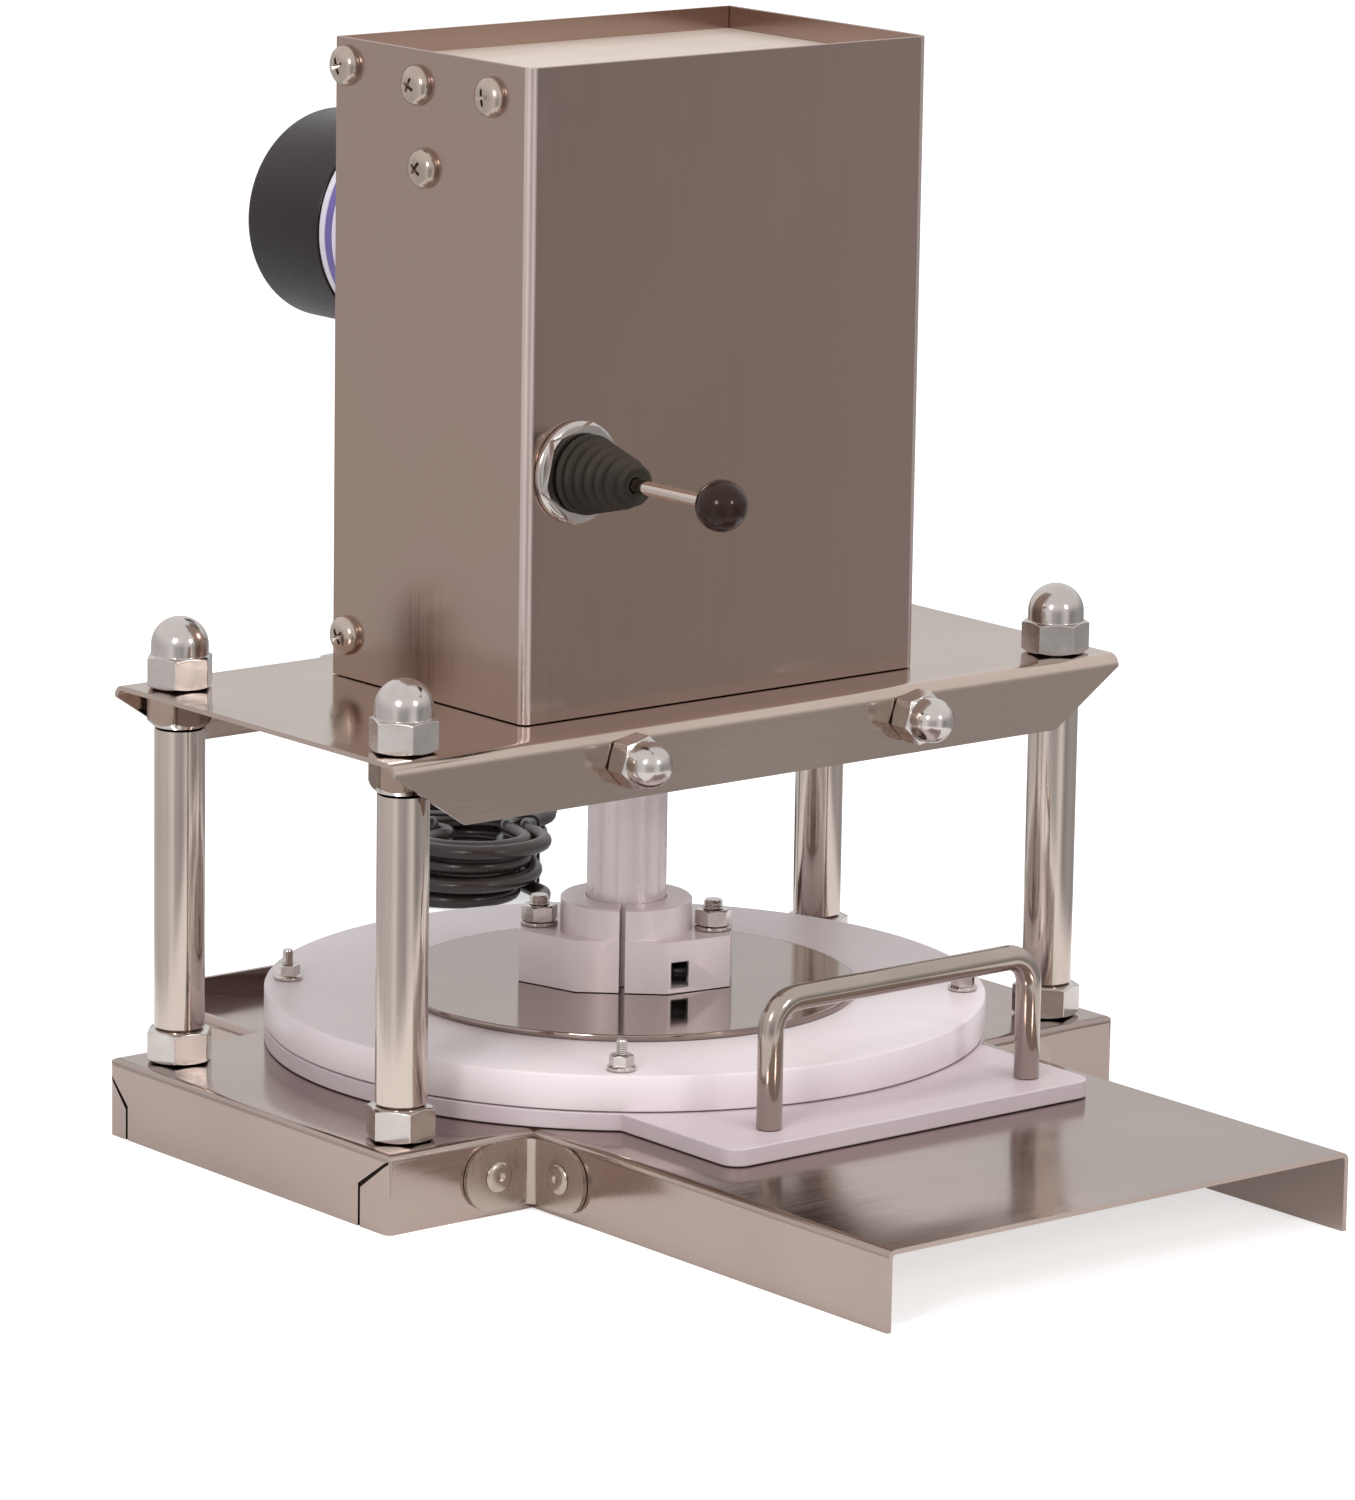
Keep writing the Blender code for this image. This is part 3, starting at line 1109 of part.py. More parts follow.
def make_bearing_plate(carrier):
    sheet = BEARING_PLATE_SHEET
    front = BEARING_PLATE_BACK - sheet
    height = (AXIS_Z - BEARING_PLATE_BELOW_AXIS, AXIS_Z + BEARING_PLATE_ABOVE_AXIS)
    plate = box("bearing_plate", (INNER_LEFT, INNER_RIGHT), (front, BEARING_PLATE_BACK), height)
    for inner, outer in ((INNER_LEFT, INNER_LEFT + sheet), (INNER_RIGHT - sheet, INNER_RIGHT)):
        join(plate, box("side", (inner, outer), (front + sheet / 2, front + BEARING_PLATE_FLANGE), height))
    span = (front - OVERRUN, BEARING_PLATE_BACK + OVERRUN)
    cut(plate, cylinder("bearing", SHAFT_RADIUS + RUNNING_GAP, *span, (SHAFT_X, AXIS_Z), "Y"))
    finish(plate, "steel", carrier)


# Drive

def make_motor(carrier):
    corner = (MOTOR_X - GEARBOX_HALF, MOTOR_X + GEARBOX_HALF, AXIS_Z - GEARBOX_HALF, AXIS_Z + GEARBOX_HALF)
    gearbox = prism("gearbox", rounded_rectangle(*corner, GEARBOX_CORNER), GEARBOX_FRONT,
                    GEARBOX_FRONT + GEARBOX_DEPTH, "Y")
    socket = (GEARBOX_FRONT - OVERRUN, GEARBOX_FRONT + GEARBOX_DEPTH / 2)
    cut(gearbox, cylinder("socket", SHAFT_RADIUS + RUNNING_GAP, *socket, (SHAFT_X, AXIS_Z), "Y"))
    finish(gearbox, "alloy", carrier)
    body = cylinder("motor_body", MOTOR_BODY_RADIUS, MOTOR_BODY_FRONT, MOTOR_BODY_FRONT + MOTOR_BODY_DEPTH,
                    (MOTOR_X, AXIS_Z), "Y", WIDE_ROUND_STEPS // 2)
    finish(body, "white", carrier)
    edge = MOTOR_CAP_EDGE
    profile = [(0, MOTOR_CAP_FRONT), (MOTOR_CAP_RADIUS, MOTOR_CAP_FRONT)]
    profile += [(MOTOR_CAP_RADIUS - edge + a, PRESS_BACK - edge + b)
                for a, b in arc((0, 0), edge, 0.0, math.pi / 2, BEND_STEPS)]
    profile.append((0, PRESS_BACK))
    cap = turned("motor_cap", profile, (MOTOR_X, AXIS_Z), "Y", WIDE_ROUND_STEPS // 2)
    finish(cap, "black", carrier)


def pinion_outline():
    """Involute teeth, with one tooth on the side of the rack."""
    base_radius = PINION_PITCH_RADIUS * math.cos(PRESSURE_ANGLE)
    tip_radius = PINION_PITCH_RADIUS + GEAR_MODULE * ADDENDUM_SHARE
    root_radius = PINION_PITCH_RADIUS - GEAR_MODULE * DEDENDUM_SHARE
    half_tooth = (TOOTH_PITCH / 2 - GEAR_BACKLASH / 2) / 2 / PINION_PITCH_RADIUS
    half_at_base = half_tooth + math.tan(PRESSURE_ANGLE) - PRESSURE_ANGLE
    rise = (tip_radius - base_radius) / FLANK_STEPS
    radii = [base_radius + rise * step for step in range(FLANK_STEPS + 1)]
    flank = []
    for radius in radii:
        turn = math.acos(min(1.0, base_radius / radius))
        flank.append((radius, half_at_base - (math.tan(turn) - turn)))
    flank.insert(0, (root_radius, half_at_base))
    outline = []
    for tooth in range(PINION_TOOTH_COUNT):
        middle = 2 * math.pi * tooth / PINION_TOOTH_COUNT
        for radius, half in flank:
            outline.append((radius * math.cos(middle - half), radius * math.sin(middle - half)))
        for radius, half in reversed(flank):
            outline.append((radius * math.cos(middle + half), radius * math.sin(middle + half)))
    return [(SHAFT_X + a, AXIS_Z + b) for a, b in outline]


def make_drive(carrier):
    front = RAM_Y - PINION_WIDTH / 2
    back = RAM_Y + PINION_WIDTH / 2
    pinion = prism("pinion", pinion_outline(), front, back, "Y")
    bore = (front - OVERRUN, back + OVERRUN)
    cut(pinion, cylinder("bore", SHAFT_RADIUS + SEAT_GAP, *bore, (SHAFT_X, AXIS_Z), "Y"))
    finish(pinion, "bright", carrier)
    start = BEARING_PLATE_BACK - BEARING_PLATE_SHEET - SHAFT_FRONT
    end = GEARBOX_FRONT + GEARBOX_DEPTH / 2 - SEAT_GAP
    shaft = cylinder("output_shaft", SHAFT_RADIUS, start, end, (SHAFT_X, AXIS_Z), "Y")
    finish(shaft, "bright", carrier)


def make_limit_switch(carrier):
    left = COLUMN_RADIUS + SWITCH_LEVER
    front = BEARING_PLATE_BACK + SEAT_GAP
    low = AXIS_Z + SWITCH_ABOVE_AXIS
    high = low + SWITCH_HEIGHT
    switch = box("limit_switch", (left, left + SWITCH_WIDTH), (front, front + SWITCH_DEPTH), (low, high))
    middle = front + SWITCH_DEPTH / 2
    blade = (high - SWITCH_LEVER_SHEET / 2, high + SWITCH_LEVER_SHEET / 2)
    join(switch, box("blade", (COLUMN_RADIUS + SEAT_GAP * 2, left + SWITCH_WIDTH / 2),
                     (middle - SWITCH_LEVER_SHEET, middle + SWITCH_LEVER_SHEET), blade))
    finish(switch, "black", carrier)


# Joystick

def make_joystick_mount(carrier):
    """The switch body behind the wall, with its threaded neck, and the nut that clamps it."""
    centre = (STICK_X, STICK_Z)
    wall_back = HOUSING_FRONT + HOUSING_SHEET + SEAT_GAP
    neck_front = HOUSING_FRONT - STICK_NECK
    half = STICK_BODY_HALF
    outline = rounded_rectangle(STICK_X - half, STICK_X + half, STICK_Z - half, STICK_Z + half,
                                STICK_BODY_CORNER)
    body = prism("joystick_body", outline, wall_back, wall_back + STICK_BODY_DEPTH, "Y")
    neck_back = wall_back + STICK_BODY_DEPTH / 4
    join(body, cylinder("neck", STICK_HOLE_RADIUS, neck_front, neck_back, centre, "Y"))
    pivot = STICK_PIVOT_Y
    socket = ball_profile(pivot, STICK_SOCKET_RADIUS, STICK_SOCKET_STEPS)
    cut(body, turned("socket", socket, centre, "Y"))
    mouth = [(0, neck_front - OVERRUN), (STICK_SOCKET_MOUTH, neck_front - OVERRUN),
             (STICK_SOCKET_MOUTH, neck_front), (STICK_LEVER_RADIUS, pivot), (0, pivot)]
    cut(body, turned("mouth", mouth, centre, "Y"))
    finish(body, "black", carrier)
    face = HOUSING_FRONT - SEAT_GAP
    bore = STICK_HOLE_RADIUS + BORE_GAP
    rim_width, rim_height = STICK_NUT_RIM_SHARES
    profile = [(bore, face), (STICK_NUT_RADIUS, face), (STICK_NUT_RADIUS, face - STICK_NUT * rim_height),
               (STICK_NUT_RADIUS * rim_width, face - STICK_NUT), (bore, face - STICK_NUT)]
    finish(turned("joystick_nut", profile, centre, "Y", ring=True), "bright", carrier)


def make_joystick_boot(carrier):
    """A ribbed rubber cone, open inside, from the nut to the lever."""
    base = HOUSING_FRONT - STICK_NECK - SEAT_GAP
    tip = HOUSING_FRONT - BOOT_TIP_OUT
    outer = [(BOOT_BASE_RADIUS, base)]
    for rib in range(BOOT_RIB_COUNT):
        for share, extra in ((BOOT_CREST_SHARE, 0.0), (BOOT_GROOVE_SHARE, -BOOT_RIB)):
            position = (rib + share) / BOOT_RIB_COUNT
            radius = BOOT_BASE_RADIUS + (BOOT_TIP_RADIUS - BOOT_BASE_RADIUS) * position + extra
            outer.append((radius, base + (tip - base) * position))
    outer.append((BOOT_TIP_RADIUS, tip))
    neck = STICK_LEVER_RADIUS + BORE_GAP
    inner_base = BOOT_BASE_RADIUS - BOOT_WALL
    inner = [(neck, tip), (neck, tip + BOOT_THROAT),
             (BOOT_TIP_RADIUS - BOOT_WALL, tip + BOOT_THROAT + BOOT_WALL), (inner_base - BOOT_RIB, base)]
    boot = turned("joystick_boot", outer + inner, (STICK_X, STICK_Z), "Y", ROUND_STEPS // 2, ring=True)
    finish(boot, "boot", carrier)


def make_joystick_lever(carrier):
    centre = (STICK_X, STICK_Z)
    knob = HOUSING_FRONT - STICK_KNOB_OUT
    ball = []
    meet = math.pi - math.asin(STICK_LEVER_RADIUS / STICK_BALL_RADIUS)
    for step in range(STICK_BALL_STEPS + 1):
        turn = meet * step / STICK_BALL_STEPS
        ball.append((STICK_BALL_RADIUS * math.sin(turn),
                     STICK_PIVOT_Y + STICK_BALL_RADIUS * math.cos(turn)))
    profile = ball + [(STICK_LEVER_RADIUS, knob), (0, knob)]
    finish(turned("joystick_lever", profile, centre, "Y", SMALL_ROUND_STEPS), "bright", carrier)
    sphere = ball_profile(knob, STICK_KNOB_RADIUS, STICK_KNOB_STEPS)
    ball_knob = turned("joystick_knob", sphere, centre, "Y", ROUND_STEPS // 2)
    hole = (knob - SEAT_GAP, knob + STICK_KNOB_RADIUS + OVERRUN)
    cut(ball_knob, cylinder("hole", STICK_LEVER_RADIUS + BORE_GAP, *hole, centre, "Y", SMALL_ROUND_STEPS))
    finish(ball_knob, "knob", carrier)


# Mains cord

def make_gland(carrier):
    """A strain relief clamped in the back wall, with the cord coming out of its end."""
    inside = HOUSING_BACK - HOUSING_SHEET - GLAND_IN
    face = HOUSING_BACK + SEAT_GAP
    end = GLAND_END
    profile = [(0, inside), (GLAND_NECK_RADIUS, inside), (GLAND_NECK_RADIUS, face), (GLAND_RADIUS, face),
               (GLAND_RADIUS, face + GLAND_OUT * GLAND_FLANGE_SHARE),
               (GLAND_NECK_RADIUS, end - GLAND_OUT * GLAND_TAPER_SHARE),
               (CORD_RADIUS * GLAND_MOUTH_SHARE, end), (0, end)]
    finish(turned("cord_gland", profile, (GLAND_X, GLAND_Z), "Y", SMALL_ROUND_STEPS), "black", carrier)


def hank_place(local):
    """From the hank's own frame, with its runs along the first axis, to the floor."""
    along = Vector((math.cos(HANK_TURN), math.sin(HANK_TURN), 0))
    across = Vector((-math.sin(HANK_TURN), math.cos(HANK_TURN), 0))
    return HANK_CENTRE + along * local[0] + across * local[1] + Vector((0, 0, local[2]))


def hank_point(turn):
    """A point of the wound cord; turn 0 is the middle of the right run of the bottom layer."""
    layer = turn / HANK_TURN_COUNT
    number = min(max(math.floor(layer), 0), HANK_LAYER_COUNT - 1)
    wound = layer - number
    depth = wound if number % 2 == 0 else 1 - wound
    radius = HANK_OUTER_RADIUS - depth * HANK_TURN_COUNT * HANK_PITCH
    nearest = min(max(round(layer), 1), HANK_LAYER_COUNT - 1)
    climb = min(max((layer - nearest) * HANK_TURN_COUNT / HANK_CLIMB_SHARE + HANK_CLIMB_SHARE, 0.0), 1.0)
    level = nearest - 1 + climb * climb * (3 - 2 * climb)
    run = 2 * HANK_RUN_HALF
    fold = math.pi * radius
    travel = ((turn + HANK_QUARTER_SHARE * run / (run + fold)) % 1.0) * 2 * (run + fold)
    along, across = stadium(travel, run, fold, radius)
    lean = HANK_LEAN * (level - (HANK_LAYER_COUNT - 1) / 2)
    return along, across - lean, CORD_RADIUS + level * HANK_LAYER


def stadium(travel, run, fold, radius):
    """Walk round two straight runs and two round folds, drawn in at the waist."""
    if travel < run:
        place = (travel - run / 2, -radius)
    elif travel < run + fold:
        turn = (travel - run) / radius
        place = (run / 2 + radius * math.sin(turn), -radius * math.cos(turn))
    elif travel < 2 * run + fold:
        place = (run / 2 - (travel - run - fold), radius)
    else:
        turn = (travel - 2 * run - fold) / radius
        place = (-run / 2 - radius * math.sin(turn), radius * math.cos(turn))
    draw = HANK_WAIST * math.exp(-(place[0] / HANK_WAIST_HALF) ** 2)
    return place[0], place[1] - math.copysign(draw, place[1])


def hank_points():
    turns = HANK_LAYER_COUNT * HANK_TURN_COUNT
    count = round((turns + 2 * HANK_END_SHARE) * HANK_LOOP_STEPS)
    return [hank_point(-HANK_END_SHARE + (turns + 2 * HANK_END_SHARE) * step / count)
            for step in range(count + 1)]


def least_gap(points, radius):
    """The smallest clear distance of a tube to its own other turns."""
    apart = HANK_LOOP_STEPS // 3
    return min((Vector(a) - Vector(b)).length for i, a in enumerate(points)
               for b in points[i + apart:]) - 2 * radius


def make_cord(carrier):
    wound = hank_points()
    start_along = (Vector(wound[1]) - Vector(wound[0])).normalized()
    lead_in = Vector(wound[0]) - start_along * CORD_RADIUS * 2
    tail = smooth_route(wound[-2:] + TAIL_ROUTE, CORD_RADIUS * TAIL_SPACING_SHARE)[1:]
    coil = [tuple(lead_in)] + wound[:-1] + [tuple(point) for point in tail]
    print("least gap of the hank to itself, mm:", round(least_gap(coil, CORD_RADIUS) / MM, 2))
    coil = [hank_place(point) for point in coil]
    hank = cord_tube("cord_hank", coil, CORD_RADIUS, 1)
    finish(hank, "cord", carrier)
    begin = Vector((GLAND_X, GLAND_END + SEAT_GAP, GLAND_Z))
    out = Vector((0, CORD_RADIUS * 2, 0))
    heading = (coil[1] - coil[0]).normalized()
    end = coil[0] - heading * SEAT_GAP
    route = [begin + out] + LEAD_ROUTE + [end - heading * CORD_RADIUS * 2]
    lead = [begin] + smooth_route(route, CORD_RADIUS * CORD_SPACING_SHARE) + [end]
    finish(cord_tube("mains_lead", lead, CORD_RADIUS, 2), "cord", carrier)
    length = sum((b - a).length for line in (lead, coil) for a, b in zip(line, line[1:]))
    print("cord length, mm:", round(length / MM))
    make_tie(wound, carrier)
    make_plug(coil, carrier)


def make_tie(wound, carrier):
    """The band round the hank's waist, open along the surface that the hank lies on."""
    waist = max(abs(across) for along, across, _ in wound if abs(along) < TIE_BAND)
    half = waist + CORD_RADIUS + TIE_BAND_GAP
    high = 2 * CORD_RADIUS + (HANK_LAYER_COUNT - 1) * HANK_LAYER + TIE_BAND_GAP
    sheet = TIE_BAND_SHEET
    outline = rectangle(-half - sheet, half + sheet, 0.0, high + sheet)
    inner = rectangle(-half, half, -OVERRUN, high)
    band = prism("cord_tie", outline, -TIE_BAND / 2, TIE_BAND / 2, "X")
    cut(band, prism("inside", inner, -TIE_BAND / 2 - OVERRUN, TIE_BAND / 2 + OVERRUN, "X"))
    band.data.transform(Matrix.Translation(HANK_CENTRE) @ Matrix.Rotation(HANK_TURN, 4, "Z"))
    finish(band, "black", carrier)


def make_plug(coil, carrier):
    """A flat plug with three pins in line, at the free end of the cord."""
    heading = (coil[-1] - coil[-2]).normalized()
    turn = math.atan2(heading.y, heading.x)
    ring = rounded_rectangle(-PLUG_HALF_WIDTH, PLUG_HALF_WIDTH, -PLUG_HALF_HEIGHT, PLUG_HALF_HEIGHT,
                             PLUG_EDGE)
    rings = [[(length * PLUG_LENGTH, a * size, b * size) for a, b in ring]
             for length, size in zip(PLUG_LENGTH_SHARES, PLUG_SIZE_SHARES)]
    plug = loft("mains_plug", rings)
    for across in (-PIN_SPACING, 0.0, PIN_SPACING):
        join(plug, cylinder("pin", PIN_RADIUS, PLUG_LENGTH / 2, PLUG_LENGTH + PIN_LENGTH, (across, 0.0), "X",
                            SMALL_ROUND_STEPS // 2))
    place = coil[-1] + heading * SEAT_GAP
    plug.data.transform(Matrix.Translation(place) @ Matrix.Rotation(turn, 4, "Z"))
    finish(plug, "black", carrier)


def main():
    clear_scene()
    bpy.context.view_layer.update()
    middle = Vector((0, -(PRESS_FRONT + PRESS_BACK) / 2, 0))
    origin = Vector((0, 0, 0))
    press = make_empty("press", middle)
    frame = (press, origin)
    ram_axis = Vector((0, RAM_Y, BASE_TOP))
    ram = (make_empty("ram_axis", ram_axis, press), ram_axis)
    drive_axis = Vector((SHAFT_X, RAM_Y, AXIS_Z))
    drive = (make_empty("drive_axis", drive_axis, press), drive_axis)
    tray_axis = Vector((0, RAM_Y, TRAY_TOP))
    tray = (make_empty("tray_axis", tray_axis, press), tray_axis)
    pivot = Vector((STICK_X, STICK_PIVOT_Y, STICK_Z))
    stick = (make_empty("joystick_pivot", pivot, press), pivot)
    make_base(frame)
    for name, side_x, side_y in (("front_left", -1, -1), ("front_right", 1, -1), ("rear_left", -1, 1),
                                 ("rear_right", 1, 1)):
        make_bracket("corner_bracket_" + name, side_x, side_y, frame)
    make_posts(frame)
    make_top_plate(frame)
    make_ties(frame)
    make_guide(frame)
    make_column(ram)
    make_hub(ram)
    make_hub_bolts(ram)
    make_pressing_plates(ram)
    make_stop_screws(ram)
    make_tray(tray)
    make_handle(tray)
    make_housing_shell(frame)
    make_housing_back(frame)
    make_housing_lid(frame)
    make_bearing_plate(frame)
    make_motor(frame)
    make_drive(drive)
    make_limit_switch(frame)
    make_joystick_mount(frame)
    make_joystick_boot(frame)
    make_joystick_lever(stick)
    make_gland(frame)
    make_cord(frame)
    bpy.context.view_layer.update()
    triangles = 0
    for item in bpy.context.scene.objects:
        if item.type in ("MESH", "CURVE"):
            mesh = item.evaluated_get(bpy.context.evaluated_depsgraph_get()).to_mesh()
            mesh.calc_loop_triangles()
            triangles += len(mesh.loop_triangles)
    print("triangles:", triangles)


main()
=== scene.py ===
"""Looks of the electric pizza dough press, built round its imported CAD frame.

Pieces are drawn in millimetres with Y = 0 halfway between the posts, then brought to the frame's
metres and its origin by settle().
"""

import math

import bmesh
import bpy
from mathutils import Matrix, Vector


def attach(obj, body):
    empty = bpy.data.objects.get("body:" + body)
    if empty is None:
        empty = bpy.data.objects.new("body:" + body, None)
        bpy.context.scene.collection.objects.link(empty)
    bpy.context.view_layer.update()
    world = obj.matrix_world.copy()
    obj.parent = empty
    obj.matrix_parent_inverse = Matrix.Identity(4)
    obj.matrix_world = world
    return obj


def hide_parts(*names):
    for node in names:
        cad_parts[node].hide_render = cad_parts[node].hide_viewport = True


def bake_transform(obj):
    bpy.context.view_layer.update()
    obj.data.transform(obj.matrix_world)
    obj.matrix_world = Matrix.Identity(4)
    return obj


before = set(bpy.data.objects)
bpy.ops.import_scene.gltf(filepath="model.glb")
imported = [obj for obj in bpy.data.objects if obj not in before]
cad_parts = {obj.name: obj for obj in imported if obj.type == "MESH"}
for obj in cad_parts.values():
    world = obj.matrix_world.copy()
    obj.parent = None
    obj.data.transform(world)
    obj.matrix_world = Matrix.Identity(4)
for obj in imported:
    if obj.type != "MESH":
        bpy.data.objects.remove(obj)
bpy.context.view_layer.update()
bpy.context.scene.view_settings.view_transform = "Standard"

# Millimetres to metres, and from between the posts to the middle of the footprint
TO_FRAME = Matrix.Translation((0.0, 0.0583, 0.0)) @ Matrix.Scale(0.001, 4)

# Faceting, in steps per turn
FINE = 128
ROUND = 64
SMALL = 32
BEND = 8

GAP = 0.3
OVER = 4.0

# Heights and places of the press
BASE_TOP = 31.5
PLATE_TOP = 183.0
PLATE_LOW = 181.0
TRAY_TOP = 38.8
DIE_LOW = 39.3
DIE_TOP = 53.7
DISC_TOP = 56.5
HUB_LOW = 56.8
POST_X = 165.7
POST_Y = 72.95
RAM_Y = -3.4
TIE_X = 71.8
TIE_Z = 171.5
HALF_BASE = 186.2
BASE_DEPTH = 92.4
TONGUE = 116.35
FRONT = -302.0
REAR = 150.0
BOX_LEFT = -101.8
BOX_RIGHT = 97.2
BOX_FRONT = -64.6
BOX_BACK = 58.3
BOX_TOP = 437.2
LID_TOP = 428.2
INNER_LEFT = -100.0
INNER_RIGHT = 95.4
MOTOR_X = -9.8
SHAFT_X = -27.8
AXIS_Z = 346.0
STICK_X = -77.9
STICK_Z = 280.4
STICK_PIVOT = -65.6
CORD_RADIUS = 3.5

# Radii of the plates, nuts and their bores, the hub's turn and half width, and the housing's sheet
DIE_RADIUS = 145.35
DISC_RADIUS = 93.5
TRAY_RADIUS = 145.4
POST_FLATS = 24.0
POST_NUT = 13.0
POST_BORE = 8.3
TIE_FLATS = 19.0
TIE_BORE = 6.3
NUT_CHAMFER = 1.4
HUB_TURN = -42.0
HUB_WING = 35.0
BOX_SHEET = 1.5

# The four corners, and the posts on them
SIDES = ((-1, -1), (-1, 1), (1, -1), (1, 1))
POSTS = [(x * POST_X, y * POST_Y) for x, y in SIDES]


# Materials

def srgb(red, green, blue):
    """Linear colour from the 0 to 255 values that a picture shows."""
    shares = [value / 255 for value in (red, green, blue)]
    return tuple(s / 12.92 if s <= 0.04045 else ((s + 0.055) / 1.055) ** 2.4 for s in shares)


class Graph:
    """A short way to add nodes to a material or world and to join them."""

    def __init__(self, owner):
        owner.use_nodes = True
        self.tree = owner.node_tree

    def link(self, value, socket):
        """Join a node's output to a socket, or set the socket to a plain value."""
        if hasattr(value, "is_output"):
            self.tree.links.new(value, socket)
        else:
            socket.default_value = value

    def add(self, kind, inputs=None, **settings):
        node = self.tree.nodes.new("ShaderNode" + kind)
        for key, value in settings.items():
            setattr(node, key, value)
        for key, value in (inputs or {}).items():
            self.link(value, node.inputs[key])
        return node

    def math(self, operation, first, second):
        return self.add("Math", {0: first, 1: second}, operation=operation).outputs[0]

    def noise(self, scale, vector, detail=3.0, roughness=0.55):
        inputs = {"Scale": scale, "Detail": detail, "Roughness": roughness, "Vector": vector}
        return self.add("TexNoise", inputs).outputs["Fac"]

    def remap(self, value, low, high, start=0.3, end=0.7, kind="LINEAR"):
        inputs = {"Value": value, "From Min": start, "From Max": end, "To Min": low, "To Max": high}
        return self.add("MapRange", inputs, interpolation_type=kind).outputs["Result"]

    def mix(self, share, first, second, kind="MIX"):
        inputs = {0: share, 6: first, 7: second}
        return self.add("Mix", inputs, data_type="RGBA", blend_type=kind).outputs[2]

    def between(self, share, first, second):
        return self.add("Mix", {0: share, 2: first, 3: second}).outputs[0]

    def rays(self, *names):
        """One where a ray is of one of the named kinds, else zero."""
        path = self.add("LightPath").outputs
        total = path[names[0]]
        for other in names[1:]:
            total = self.math("MAXIMUM", total, path[other])
        return total


def surface(name, colour, tint, metallic, rough, rough_high, grain, grain_scale, grain_bump, grain_shade,
            tint_scale=9.0, rings=None, speckle=0.0, coat=0.0, aniso=0.0, subsurface=0.0, specular=0.5):
    """A finish: two colours in soft patches, drawn or cast grain, and roughness that follows it."""
    material = bpy.data.materials.new(name)
    g = Graph(material)
    shader = g.tree.nodes["Principled BSDF"]
    place = g.add("TexCoord").outputs["Object"]
    first, second = [(*srgb(*values), 1.0) for values in (colour, tint)]
    paint = g.mix(g.remap(g.noise(tint_scale, place, 2.0), 0.0, 1.0), first, second)
    if rings is None:
        stretched = g.add("Mapping", {"Vector": place, "Scale": grain}).outputs["Vector"]
        lines = g.noise(grain_scale, stretched, 4.0, 0.6)
    else:
        centred = g.add("Mapping", {"Vector": place, "Location": tuple(-c for c in rings)}).outputs["Vector"]
        turning = {"Vector": centred, "Scale": grain_scale, "Distortion": 0.6, "Detail": 2.0,
                   "Detail Scale": 3.0}
        lines = g.add("TexWave", turning, wave_type="RINGS", rings_direction="Z").outputs["Fac"]
    if grain_shade:
        shade = g.remap(lines, 1.0 - grain_shade, 1.0 + grain_shade * 0.4, 0.25, 0.75)
        grey = g.add("CombineColor", {"Red": shade, "Green": shade, "Blue": shade}).outputs["Color"]
        paint = g.mix(1.0, paint, grey, "MULTIPLY")
    handled = g.noise(23.0, place, 4.0, 0.65)
    roughness = g.remap(g.math("ADD", lines, handled), rough, rough_high, 0.75, 1.3)
    inputs = {"Base Color": paint, "Metallic": metallic, "Roughness": roughness, "Anisotropic": aniso,
              "Specular IOR Level": specular, "Coat Weight": coat, "Coat Roughness": 0.08,
              "Subsurface Weight": subsurface, "Subsurface Radius": (0.006, 0.005, 0.0055)}
    if grain_bump or speckle:
        height = g.math("ADD", lines, g.noise(900.0, place, 2.0)) if speckle else lines
        bump = {"Height": height, "Strength": max(grain_bump, speckle), "Distance": 0.0002}
        inputs["Normal"] = g.add("Bump", bump).outputs["Normal"]
    for key, value in inputs.items():
        g.link(value, shader.inputs[key])
    material.diffuse_color = first
    return material


RAM_PLACE = (0.0, 0.0549, 0.0)

# Directions that the grain is drawn in
EVEN = (1, 1, 1)
ACROSS = (0.02, 1.0, 1.0)
UPRIGHT = (1.0, 1.0, 0.02)
LENGTHWAYS = (1.0, 0.02, 1.0)

